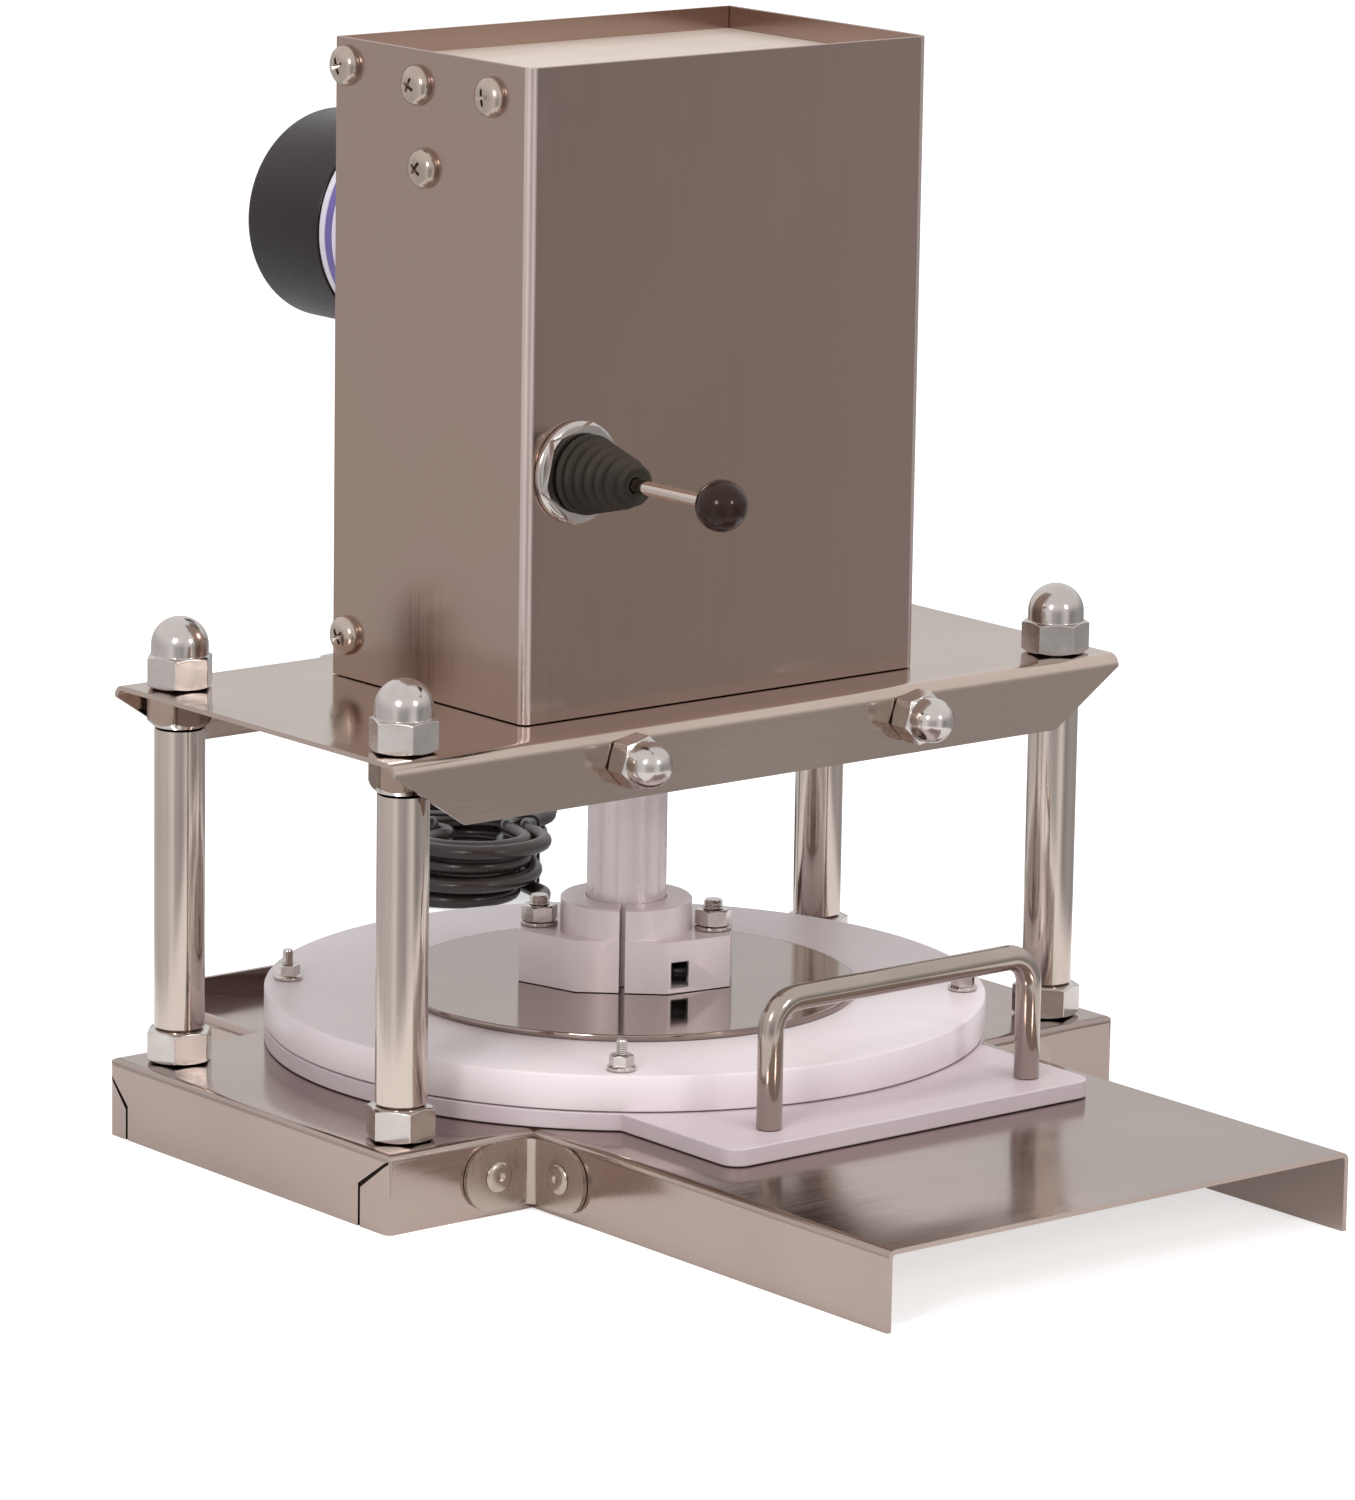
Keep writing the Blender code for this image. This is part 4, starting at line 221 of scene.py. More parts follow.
# Name, colour, colour of the patches, metallic, roughness from and to, the grain's direction, scale,
# bump and shade, and what is particular to the finish
FINISHES = {name: surface(name, *values, **extras) for name, *values, extras in (
    ("folded_steel", (173, 156, 148), (163, 147, 140), 1.0, 0.1, 0.2, ACROSS, 900.0, 0.03, 0.03,
     {"aniso": 0.25}),
    ("housing_steel", (171, 149, 136), (171, 148, 142), 1.0, 0.15, 0.24, UPRIGHT, 900.0, 0.03, 0.02,
     {"tint_scale": 5.0, "aniso": 0.25}),
    ("bracket_steel", (182, 167, 157), (170, 156, 147), 1.0, 0.2, 0.34, UPRIGHT, 700.0, 0.06, 0.04, {}),
    ("polished_bar", (204, 190, 181), (194, 180, 171), 1.0, 0.07, 0.16, UPRIGHT, 800.0, 0.03, 0.05, {}),
    ("bright_fasteners", (206, 198, 194), (190, 182, 177), 1.0, 0.1, 0.22, EVEN, 260.0, 0.08, 0.06,
     {"tint_scale": 60.0}),
    ("plate_aluminium", (245, 233, 236), (240, 228, 232), 0.0, 0.28, 0.42, EVEN, 300.0, 0.04, 0.0,
     {"speckle": 0.06, "subsurface": 0.1}),
    ("hub_aluminium", (240, 227, 228), (232, 219, 220), 0.3, 0.28, 0.42, (1, 1, 0.05), 700.0, 0.08, 0.04, {}),
    ("disc_steel", (158, 142, 134), (149, 133, 125), 1.0, 0.07, 0.13, EVEN, 420.0, 0.01, 0.03,
     {"rings": RAM_PLACE, "aniso": 0.2}),
    ("gear_steel", (150, 150, 152), (120, 118, 116), 1.0, 0.22, 0.4, LENGTHWAYS, 500.0, 0.1, 0.1, {}),
    ("gearbox_aluminium", (172, 170, 170), (158, 156, 157), 1.0, 0.42, 0.58, EVEN, 350.0, 0.25, 0.06,
     {"speckle": 0.3}),
    ("motor_light", (232, 222, 234), (222, 213, 226), 0.0, 0.28, 0.4, EVEN, 300.0, 0.03, 0.0, {"coat": 0.3}),
    ("motor_black", (38, 28, 28), (28, 20, 21), 0.0, 0.26, 0.4, EVEN, 420.0, 0.08, 0.0,
     {"speckle": 0.08, "specular": 0.28}),
    ("switch_black", (34, 33, 34), (27, 26, 27), 0.0, 0.45, 0.6, EVEN, 420.0, 0.15, 0.0,
     {"speckle": 0.2, "specular": 0.3}),
    ("boot_rubber", (58, 51, 43), (42, 37, 31), 0.0, 0.5, 0.7, EVEN, 500.0, 0.2, 0.0,
     {"tint_scale": 40.0, "speckle": 0.25, "specular": 0.2}),
    ("knob_gloss", (46, 28, 20), (36, 21, 15), 0.0, 0.12, 0.18, EVEN, 120.0, 0.01, 0.0,
     {"tint_scale": 60.0, "specular": 0.22}),
    ("cord_black", (56, 46, 44), (42, 34, 33), 0.0, 0.24, 0.36, EVEN, 260.0, 0.06, 0.0,
     {"tint_scale": 25.0, "specular": 0.42}),
    ("fitting_black", (40, 34, 33), (30, 25, 25), 0.0, 0.36, 0.52, EVEN, 520.0, 0.12, 0.0,
     {"speckle": 0.2, "specular": 0.26}),
    ("ground_column", (230, 217, 217), (222, 209, 210), 0.45, 0.26, 0.32, (1, 1, 0.03), 500.0, 0.015, 0.015,
     {}),
    ("tray_plate", (213, 198, 203), (205, 190, 196), 0.0, 0.3, 0.44, EVEN, 300.0, 0.04, 0.0,
     {"speckle": 0.06, "subsurface": 0.1}),
    ("top_plate_steel", (197, 179, 168), (187, 169, 159), 1.0, 0.1, 0.2, ACROSS, 900.0, 0.03, 0.04,
     {"aniso": 0.25}),
    ("lid_steel", (226, 211, 200), (216, 201, 190), 0.45, 0.36, 0.5, ACROSS, 700.0, 0.06, 0.06,
     {"tint_scale": 18.0}),
    # Painted highlight: a lighter steel for the housing's rounded corner bends, standing in for the lamps'
    # reflection along them
    ("bend_steel", (214, 196, 190), (206, 188, 182), 1.0, 0.24, 0.34, UPRIGHT, 700.0, 0.03, 0.03,
     {"tint_scale": 18.0}),
    ("screw_steel", (190, 175, 164), (176, 160, 150), 1.0, 0.16, 0.28, EVEN, 260.0, 0.08, 0.06,
     {"tint_scale": 60.0}),
    ("handle_steel", (176, 163, 154), (165, 152, 144), 1.0, 0.1, 0.18, EVEN, 300.0, 0.01, 0.03,
     {"tint_scale": 30.0}),
    ("violet_band", (110, 92, 170), (98, 82, 156), 0.0, 0.3, 0.42, EVEN, 300.0, 0.03, 0.0, {"coat": 0.3}),
    ("blackened_screw", (38, 36, 36), (28, 26, 27), 1.0, 0.28, 0.42, EVEN, 400.0, 0.12, 0.05, {}),
    ("seam_shadow", (46, 36, 32), (36, 28, 25), 0.0, 0.6, 0.75, EVEN, 200.0, 0.0, 0.0, {"specular": 0.1}),
)}


def dress_faces(item, finish, wanted):
    """The faces whose centre and normal are wanted take a second finish."""
    mesh = item.data
    mesh.materials.append(FINISHES[finish])
    for face in mesh.polygons:
        if wanted(face.center, face.normal):
            face.material_index = len(mesh.materials) - 1


# Building

def added(name, data):
    item = bpy.data.objects.new(name, data)
    bpy.context.scene.collection.objects.link(item)
    return item


def from_bmesh(shape):
    bmesh.ops.recalc_face_normals(shape, faces=shape.faces)
    mesh = bpy.data.meshes.new("piece")
    shape.to_mesh(mesh)
    shape.free()
    return added("piece", mesh)


def circle(radius, steps, centre=(0.0, 0.0)):
    return arc(centre, radius, 0.0, 2 * math.pi, steps)[:-1]


def arc(centre, radius, start, end, steps):
    turns = [start + (end - start) * step / steps for step in range(steps + 1)]
    return [(centre[0] + radius * math.cos(a), centre[1] + radius * math.sin(a)) for a in turns]


def rectangle(left, right, low, high):
    return [(left, low), (right, low), (right, high), (left, high)]


def rounded(left, right, low, high, corner, steps=BEND):
    quarter = math.pi / 2
    centres = [(right - corner, low + corner), (right - corner, high - corner),
               (left + corner, high - corner), (left + corner, low + corner)]
    points = []
    for number, centre in enumerate(centres):
        points += arc(centre, corner, (number - 1) * quarter, number * quarter, steps)
    return points


def hexagon(flats, centre=(0.0, 0.0), turn=0.0):
    corner = flats / math.sqrt(3)
    return [(centre[0] + corner * math.cos(math.pi * k / 3 + turn),
             centre[1] + corner * math.sin(math.pi * k / 3 + turn)) for k in range(6)]


def on_axis(axis, first, second, along):
    return {"Z": (first, second, along), "Y": (first, along, second), "X": (along, first, second)}[axis]


def loft(rings, ends=True):
    shape = bmesh.new()
    rows = [[shape.verts.new(point) for point in ring] for ring in rings]
    for lower, upper in zip(rows, rows[1:]):
        for number in range(len(lower)):
            after = (number + 1) % len(lower)
            shape.faces.new((lower[number], lower[after], upper[after], upper[number]))
    if ends:
        shape.faces.new(reversed(rows[0]))
        shape.faces.new(rows[-1])
    return from_bmesh(shape)


def prism(outline, low, high, axis="Z"):
    return loft([[on_axis(axis, a, b, level) for a, b in outline] for level in (low, high)])


def block(x, y, z):
    return prism(rectangle(*x, *y), *z)


def cylinder(radius, low, high, centre=(0.0, 0.0), axis="Z", steps=ROUND):
    return prism(circle(radius, steps, centre), low, high, axis)


def turned(profile, centre=(0.0, 0.0), axis="Z", steps=ROUND, ring=False):
    shape = bmesh.new()
    rows = []
    for radius, height in profile:
        points = circle(radius, steps, centre) if radius else [centre]
        rows.append([shape.verts.new(on_axis(axis, a, b, height)) for a, b in points])
    for lower, upper in zip(rows, rows[1:] + (rows[:1] if ring else [])):
        for number in range(steps):
            after = (number + 1) % steps
            corners = [lower[number % len(lower)], lower[after % len(lower)],
                       upper[after % len(upper)], upper[number % len(upper)]]
            unique = list(dict.fromkeys(corners))
            if len(unique) > 2:
                shape.faces.new(unique)
    return from_bmesh(shape)


def combine(item, other, operation):
    modifier = item.modifiers.new("combine", "BOOLEAN")
    modifier.solver = "EXACT"
    modifier.operation = operation
    modifier.object = other
    bpy.context.view_layer.update()
    mesh = bpy.data.meshes.new_from_object(item.evaluated_get(bpy.context.evaluated_depsgraph_get()))
    item.modifiers.clear()
    item.data = mesh
    bpy.data.objects.remove(other, do_unlink=True)
    return item


def cut(item, *others):
    for other in others:
        combine(item, other, "DIFFERENCE")
    return item


def drilled(item, radius, low, high, centres=((0, 0),), axis="Z"):
    for centre in centres:
        cut(item, cylinder(radius, low, high, centre, axis, SMALL))
    return item


def join(item, *others):
    for other in others:
        combine(item, other, "UNION")
    return item


def moved(item, matrix):
    item.data.transform(matrix)
    return item


def copied(item, matrix):
    return moved(added("piece", item.data.copy()), matrix)


def mirrored(item, side_x, side_y):
    """Bring what was drawn for the right rear corner to the corner on the given sides."""
    item.data.transform(Matrix.Diagonal((side_x, side_y, 1, 1)))
    if side_x * side_y < 0:
        item.data.flip_normals()
    return item


def settle(item, name, body, slot, nodes=(), bevel=0.0, segments=2, finish=None, angle=35.0):
    """Bring a piece to the frame, give it the slot's finish or another one and hang it on its body."""
    item.name = name
    item.data.name = name
    item.data.transform(TO_FRAME)
    item.data.materials.clear()
    item.data.materials.append(FINISHES[finish or slot])
    item.data.shade_smooth()
    if bevel:
        modifier = item.modifiers.new("edges", "BEVEL")
        modifier.width = bevel * 0.001
        modifier.segments = segments
        modifier.limit_method = "ANGLE"
        modifier.angle_limit = math.radians(angle)
        modifier.harden_normals = True
        modifier.miter_outer = "MITER_ARC"
    else:
        item.data.set_sharp_from_angle(angle=math.radians(angle))
    if nodes:
        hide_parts(*nodes)
    if body:
        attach(item, body)
    return item


def inset(outline, distances):
    lines = []
    for number, start in enumerate(outline):
        end = outline[(number + 1) % len(outline)]
        along = Vector((end[0] - start[0], end[1] - start[1])).normalized()
        lines.append((Vector(start) + Vector((-along.y, along.x)) * distances[number], along))
    points = []
    for number, (place, along) in enumerate(lines):
        before_place, before = lines[number - 1]
        cross = before.x * along.y - before.y * along.x
        offset = place - before_place
        points.append(tuple(before_place + before * ((offset.x * along.y - offset.y * along.x) / cross)))
    return points


def folded(outline, flanged, low, high, sheet, bend):
    """A sheet folded down along the flanged edges of its outline and open at the others."""
    def levels(bottom, top, spare, reach, radius):
        rows = [(bottom, 0.0)]
        for step in range(BEND + 1):
            turn = math.pi / 2 * step / BEND
            rows.append((top - radius + radius * math.sin(turn), radius * (1 - math.cos(turn))))
        rings = []
        for level, extra in rows:
            points = inset(outline, [spare + extra if edge else reach for edge in flanged])
            rings.append([(x, y, level) for x, y in points])
        return rings
    outside = loft(levels(low, high, 0.0, 0.0, bend))
    inside = loft(levels(low - OVER, high - sheet, sheet, -OVER, bend - sheet))
    return cut(outside, inside)


def chamfered_hex(flats, low, high, chamfer, axis="Z", centre=(0.0, 0.0)):
    corner = flats / math.sqrt(3)
    nut = prism(hexagon(flats, centre), low, high, axis)
    face = flats / 2 - chamfer / 2
    drop = (corner - flats / 2 + chamfer) / 2
    profile = [(0, low - OVER), (face, low - OVER), (face, low), (corner + chamfer, low + drop),
               (corner + chamfer, high - drop), (face, high), (face, high + OVER), (0, high + OVER)]
    return combine(nut, turned(profile, centre, axis), "INTERSECT")


def dome(radius, start, height, steps=12):
    centre = height - radius
    points = [(radius, start)]
    for step in range(steps):
        turn = math.pi / 2 * step / steps
        points.append((radius * math.cos(turn), centre + radius * math.sin(turn)))
    return points + [(0, height)]


def thread(radius, low, high, pitch, depth):
    """Profile points of a stud's turned thread, as close grooves between low and high."""
    points = []
    count = max(1, int((high - low) / pitch))
    for number in range(count):
        start = low + (high - low) * number / count
        end = low + (high - low) * (number + 1) / count
        points += [(radius - depth, start), (radius, (start + end) / 2)]
    return points + [(radius - depth, high)]


def spin(degrees, axis="Z"):
    return Matrix.Rotation(math.radians(degrees), 4, axis)


def shift(x, y, z):
    return Matrix.Translation((x, y, z))


# Camera, light and floor

TARGET = Vector((0.02815, 0.0583, 0.14623))
AZIMUTH = -39.35
ELEVATION = 12.23
ROLL = math.radians(0.91)
DISTANCE = 3.0
LENS = 178.56
LAMP_AIM = Vector((0.0, 0.0, 0.2))
WHITE = (1.0, 1.0, 1.0, 1.0)
METAL_RAYS = ("Is Glossy Ray", "Is Transmission Ray")

# Strength of the world for all rays but those of the camera and of metal
WORLD_LIGHT = 0.60

# Brightness of the room below the horizon as metal shows it, by azimuth in degrees from the front,
# and the heights of a direction between which the room turns into white sky
ROOM = ((-150, 0.70), (-95, 0.78), (-70, 1.00), (-50, 0.58), (-28, 0.50), (1, 0.98), (24, 0.38), (55, 0.50),
        (110, 0.40), (170, 0.60))
HORIZON = (-0.10, 0.45)

# The floor's radius in metres, its glow to the camera, the share of this that metal sees, and between
# which distances from the press metal starts to see past it
FLOOR_RADIUS = 25.0
FLOOR_GLOW = 0.62
GLOW_IN_METAL = 0.50
NEAR_FLOOR = (0.38, 0.50)


def outward(azimuth, elevation):
    """Direction from the press, in degrees from its front and above its level."""
    a, e = math.radians(azimuth), math.radians(elevation)
    return Vector((math.sin(a) * math.cos(e), -math.cos(a) * math.cos(e), math.sin(e)))


def make_camera():
    back = outward(AZIMUTH, ELEVATION)
    turn = math.radians(AZIMUTH)
    right = Vector((math.cos(turn), math.sin(turn), 0.0))
    up = back.cross(right)
    side = right * math.cos(ROLL) + up * math.sin(ROLL)
    top = up * math.cos(ROLL) - right * math.sin(ROLL)
    data = bpy.data.cameras.new("camera")
    data.sensor_width = 36.0
    data.lens = LENS
    data.clip_start = 0.05
    data.clip_end = 60.0
    camera = added("camera", data)
    view = Matrix((side, top, back)).transposed().to_4x4()
    camera.matrix_world = Matrix.Translation(TARGET + back * DISTANCE) @ view
    bpy.context.scene.camera = camera


def lamp(name, azimuth, elevation, distance, width, height, power):
    out = outward(azimuth, elevation)
    data = bpy.data.lights.new(name, "AREA")
    data.shape = "ELLIPSE"
    data.size = width
    data.size_y = height
    data.energy = power
    item = added(name, data)
    item.location = LAMP_AIM + out * distance
    item.rotation_mode = "QUATERNION"
    item.rotation_quaternion = out.to_track_quat("Z", "Y")
    return item


def make_world():
    """White to the camera; metal sees a white sky over a softly lit room; the rest is plain light."""
    world = bpy.data.worlds.new("studio")
    bpy.context.scene.world = world
    g = Graph(world)
    direction = g.add("SeparateXYZ", {0: g.add("TexCoord").outputs["Generated"]}).outputs
    azimuth = g.math("ARCTAN2", direction["X"], g.math("MULTIPLY", direction["Y"], -1.0))
    ramp = g.add("ValToRGB", {0: g.math("ADD", g.math("DIVIDE", azimuth, 2 * math.pi), 0.5)})
    ramp.color_ramp.interpolation = "EASE"
    stops = ramp.color_ramp.elements
    for number, (degrees, level) in enumerate(ROOM):
        place = degrees / 360 + 0.5
        stop = stops[number] if number < 2 else stops.new(place)
        stop.position = place
        stop.color = (level, level, level, 1.0)
    above = g.remap(direction["Z"], 0.0, 1.0, *HORIZON, "SMOOTHSTEP")
    metal = g.between(above, ramp.outputs["Color"], 1.0)
    light = g.between(g.rays(*METAL_RAYS), WORLD_LIGHT, metal)
    ground = g.tree.nodes["Background"]
    g.link(WHITE, ground.inputs["Color"])
    g.link(g.between(g.rays("Is Camera Ray"), light, 1.0), ground.inputs["Strength"])


def make_floor():
    """A plain white floor; beyond the press's own surroundings metal sees past it to the room."""
    shape = bmesh.new()
    shape.faces.new([shape.verts.new((x, y, 0.0)) for x, y in circle(FLOOR_RADIUS, 96)])
    floor = from_bmesh(shape)
    floor.name = "floor"
    material = bpy.data.materials.new("floor")
    g = Graph(material)
    shader = g.tree.nodes["Principled BSDF"]
    in_metal = g.math("MULTIPLY", g.rays(*METAL_RAYS), GLOW_IN_METAL)
    seen = g.math("MAXIMUM", g.rays("Is Camera Ray"), in_metal)
    inputs = {"Base Color": (0.80, 0.80, 0.80, 1.0), "Roughness": 0.9, "Specular IOR Level": 0.0,
              "Emission Color": WHITE, "Emission Strength": g.math("MULTIPLY", seen, FLOOR_GLOW)}
    for key, value in inputs.items():
        g.link(value, shader.inputs[key])
    reach = g.add("VectorMath", {0: g.add("TexCoord").outputs["Object"]}, operation="LENGTH").outputs["Value"]
    far = g.remap(reach, 0.0, 1.0, *NEAR_FLOOR, "SMOOTHSTEP")
    past = g.math("MULTIPLY", far, g.rays("Is Glossy Ray"))
    mix = g.add("MixShader", {0: past, 1: shader.outputs[0], 2: g.add("BsdfTransparent").outputs[0]})
    g.link(mix.outputs[0], g.tree.nodes["Material Output"].inputs["Surface"])
    floor.data.materials.append(material)


make_camera()
make_world()
make_floor()
lamp("left_box", -62.0, 24.0, 2.6, 0.5, 0.6, 13.0)
lamp("front_box", 8.0, 22.0, 2.6, 0.4, 0.5, 9.0)
lamp("top_box", -20.0, 74.0, 2.4, 1.4, 1.1, 26.0).visible_glossy = False


# Mains cord

HANK_PLACE = shift(196.2, 356.3, 0.0) @ spin(50.65)
HANK_RUN_HALF = 24.0
HANK_INNER = 21.5
HANK_PITCH = 8.7
HANK_LAYER = 7.7
HANK_LEAN = 2.3
HANK_LAYERS = 4
HANK_TURNS = 1.5
HANK_STEPS = 24
HANK_WAIST = 11.0
HANK_WAIST_HALF = 17.0
HANK_END_SHARE = 0.07
HANK_OUTER = HANK_INNER + HANK_TURNS * HANK_PITCH
GLAND_X = 75.0
GLAND_Z = 216.5
GLAND_END = 78.3
CORD_SPACING = 16.8
TIE_BAND = 7.0
TIE_SHEET = 1.4
TIE_GAP = 1.3
TIE_CORNER = 4.0
LEAD_ROUTE = [
    (76.0, 97.0, 214.5), (82.0, 116.0, 199.0), (94.0, 130.0, 168.0), (108.0, 137.0, 128.0),
    (118.0, 140.0, 88.0), (124.0, 143.0, 52.0), (130.0, 152.0, 22.0), (139.0, 168.0, 6.5),
    (149.0, 189.0, 3.9), (158.0, 217.0, 3.9), (167.0, 247.0, 3.9), (180.0, 276.5, 3.9), (191.5, 297.5, 3.9),
]
TAIL_ROUTE = [
    (40.0, -37.0, 25.6), (58.0, -37.2, 21.5), (73.0, -34.0, 15.5), (84.0, -27.0, 11.0), (91.0, -18.5, 9.4),
    (95.0, -12.5, 9.3),
]


def smooth_route(points, spacing):
    places = [Vector(point) for point in points]
    ends = [places[0] * 2 - places[1], *places, places[-1] * 2 - places[-2]]
    fine = []
    for number in range(1, len(ends) - 2):
        p0, p1, p2, p3 = ends[number - 1:number + 3]
        for step in range(48):
            t = step / 48
            fine.append(0.5 * (2 * p1 + (p2 - p0) * t + (2 * p0 - 5 * p1 + 4 * p2 - p3) * t ** 2
                               + (3 * p1 - p0 - 3 * p2 + p3) * t ** 3))
    fine.append(places[-1])
    lengths = [0.0]
    for before, after in zip(fine, fine[1:]):
        lengths.append(lengths[-1] + (after - before).length)
    count = max(2, round(lengths[-1] / spacing))
    route = []
    number = 0
    for step in range(count + 1):
        wanted = lengths[-1] * step / count
        while number < len(fine) - 2 and lengths[number + 1] < wanted:
            number += 1
        share = (wanted - lengths[number]) / (lengths[number + 1] - lengths[number])
        route.append(fine[number].lerp(fine[number + 1], share))
    return route


def stadium(travel, run, fold, radius):
    if travel < run:
        place = (travel - run / 2, -radius)
    elif travel < run + fold:
        turn = (travel - run) / radius
        place = (run / 2 + radius * math.sin(turn), -radius * math.cos(turn))
    elif travel < 2 * run + fold:
        place = (run / 2 - (travel - run - fold), radius)
    else:
        turn = (travel - 2 * run - fold) / radius
        place = (-run / 2 - radius * math.sin(turn), radius * math.cos(turn))
    draw = HANK_WAIST * math.exp(-(place[0] / HANK_WAIST_HALF) ** 2)
    return place[0], place[1] - math.copysign(draw, place[1])


def hank_point(turn):
    layer = turn / HANK_TURNS
    number = min(max(math.floor(layer), 0), HANK_LAYERS - 1)
    wound = layer - number
    depth = wound if number % 2 == 0 else 1 - wound
    radius = HANK_OUTER - depth * HANK_TURNS * HANK_PITCH
    nearest = min(max(round(layer), 1), HANK_LAYERS - 1)
    climb = min(max((layer - nearest) * HANK_TURNS / 0.5 + 0.5, 0.0), 1.0)
    level = nearest - 1 + climb * climb * (3 - 2 * climb)
    run = 2 * HANK_RUN_HALF
    fold = math.pi * radius
    travel = ((turn + 0.25 * run / (run + fold)) % 1.0) * 2 * (run + fold)
    along, across = stadium(travel, run, fold, radius)
    lean = HANK_LEAN * (level - (HANK_LAYERS - 1) / 2)
    return along, across - lean, CORD_RADIUS + level * HANK_LAYER


def hank_points():
    turns = HANK_LAYERS * HANK_TURNS
    count = round((turns + 2 * HANK_END_SHARE) * HANK_STEPS)
    return [hank_point(-HANK_END_SHARE + (turns + 2 * HANK_END_SHARE) * step / count)
            for step in range(count + 1)]


def cord_line():
    """Points of the whole cord, from the gland through the hank to the plug."""
    wound = hank_points()
    lead_in = Vector(wound[0]) - (Vector(wound[1]) - Vector(wound[0])).normalized() * CORD_RADIUS * 2
    tail = smooth_route(wound[-2:] + TAIL_ROUTE, CORD_RADIUS * 4)[1:]
    coil = [HANK_PLACE @ Vector(point) for point in [lead_in, *wound[:-1], *tail]]
    begin = Vector((GLAND_X, GLAND_END + GAP, GLAND_Z))
    heading = (coil[1] - coil[0]).normalized()
    first = begin + Vector((0, CORD_RADIUS * 2, 0))
    last = coil[0] - heading * (GAP + CORD_RADIUS * 2)
    lead = [begin] + smooth_route([first, *LEAD_ROUTE, last], CORD_SPACING)
    return wound, lead + coil


def make_cord():
    wound, line = cord_line()
    data = bpy.data.curves.new("mains_cord", "CURVE")
    data.dimensions = "3D"
    data.bevel_depth = CORD_RADIUS * 0.001
    data.bevel_resolution = 5
    data.resolution_u = 4
    data.use_fill_caps = True
    spline = data.splines.new("BEZIER")
    spline.bezier_points.add(len(line) - 1)
    for place, point in zip(line, spline.bezier_points):
        point.co = TO_FRAME @ place
        point.handle_left_type = "AUTO"
        point.handle_right_type = "AUTO"
    cord = added("mains_cord", data)
    data.materials.append(FINISHES["cord_black"])
    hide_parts("mains_lead", "cord_hank")
    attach(cord, "frame")
    gland = make_gland()
    tie = make_tie(wound)
    plug = make_plug(line)


def make_gland():
    """A strain relief: a flanged bush and a tapered, ribbed sleeve that holds the cord."""
    face = BOX_BACK + GAP
    profile = [(0, 49.8), (6.6, 49.8), (7.0, 50.4), (7.0, face), (9.3, face), (9.5, face + 0.4),
               (9.5, face + 5.0), (9.0, face + 6.2), (7.4, face + 6.8)]
    for rib in range(4):
        start = face + 6.8 + rib * 2.7
        radius = 7.0 - rib * 0.45
        profile += [(radius, start + 0.3), (radius, start + 1.7), (radius - 0.9, start + 2.0),
                    (radius - 0.9, start + 2.6)]
    profile += [(4.9, 77.9), (4.5, GLAND_END), (0, GLAND_END)]
    gland = turned(profile, (GLAND_X, GLAND_Z), "Y", SMALL)
    return settle(gland, "strain_relief", "frame", "fitting_black", ["cord_gland"], angle=40.0)


def make_tie(wound):
    """A soft band round the hank, closed over the top."""
    waist = max(abs(across) for along, across, _ in wound if abs(along) < TIE_BAND)
    half = waist + CORD_RADIUS + TIE_GAP
    high = 2 * CORD_RADIUS + (HANK_LAYERS - 1) * HANK_LAYER + TIE_GAP
    outer, inner = TIE_CORNER, TIE_CORNER - TIE_SHEET
    across, level = half - inner, high - inner
    up = math.pi / 2
    outline = ([(-half - TIE_SHEET, 0.0)] + arc((-across, level), outer, math.pi, up, BEND)
               + arc((across, level), outer, up, 0.0, BEND) + [(half + TIE_SHEET, 0.0), (half, 0.0)]
               + arc((across, level), inner, 0.0, up, BEND)
               + arc((-across, level), inner, up, math.pi, BEND) + [(-half, 0.0)])
    band = prism(outline, -TIE_BAND / 2, TIE_BAND / 2, "X")
    return settle(moved(band, HANK_PLACE), "hank_band", "frame", "fitting_black", ["cord_tie"], 0.35)


def make_plug(line):
    heading = (line[-1] - line[-2]).normalized()
    turn = math.atan2(heading.y, heading.x)
    ring = rounded(-14.0, 14.0, -9.0, 9.0, 4.5)
    shares = ((0.0, 0.34), (0.05, 0.42), (0.10, 0.40), (0.15, 0.50), (0.22, 0.60), (0.34, 0.80), (0.50, 0.97),
              (0.62, 1.0), (0.94, 1.0), (1.0, 0.95))
    body = loft([[(length * 38.0, a * size, b * size) for a, b in ring] for length, size in shares])
    place = Matrix.Translation(line[-1] + heading * GAP) @ Matrix.Rotation(turn, 4, "Z")
    moved(body, place)
    pieces = [settle(body, "plug_body", "frame", "fitting_black", ["mains_plug"], angle=50.0)]
    for number, across in enumerate((-9.5, 0.0, 9.5)):
        pin = turned([(0, 37.0), (2.0, 37.0), (2.0, 53.6), (1.2, 54.9), (0, 55.0)], (across, 0.0), "X", SMALL)
        moved(pin, place)
        pieces.append(settle(pin, f"plug_pin_{number}", "frame", "bright_fasteners"))
    return pieces


make_cord()


# Base and brackets

def base_outline():
    """Corners of the base with its tongues, and whether the edge that starts there is folded down."""
    points = [(TONGUE, -BASE_DEPTH), (HALF_BASE, -BASE_DEPTH), (HALF_BASE, BASE_DEPTH), (TONGUE, BASE_DEPTH),
              (TONGUE, REAR), (-TONGUE, REAR), (-TONGUE, BASE_DEPTH), (-HALF_BASE, BASE_DEPTH),
              (-HALF_BASE, -BASE_DEPTH), (-TONGUE, -BASE_DEPTH), (-TONGUE, FRONT), (TONGUE, FRONT)]
    return points, [point not in ((TONGUE, REAR), (-TONGUE, FRONT)) for point in points]


# How far a seam is from the corner, how high it turns and how high it ends
SEAMS_FRONT = (18.5, 16.3, 28.6)
SEAMS_REAR = (12.3, 13.2, 24.7)
SEAM_HALF = 0.7
SEAM_DEPTH = 1.2
CORNER_BEND = 3.0


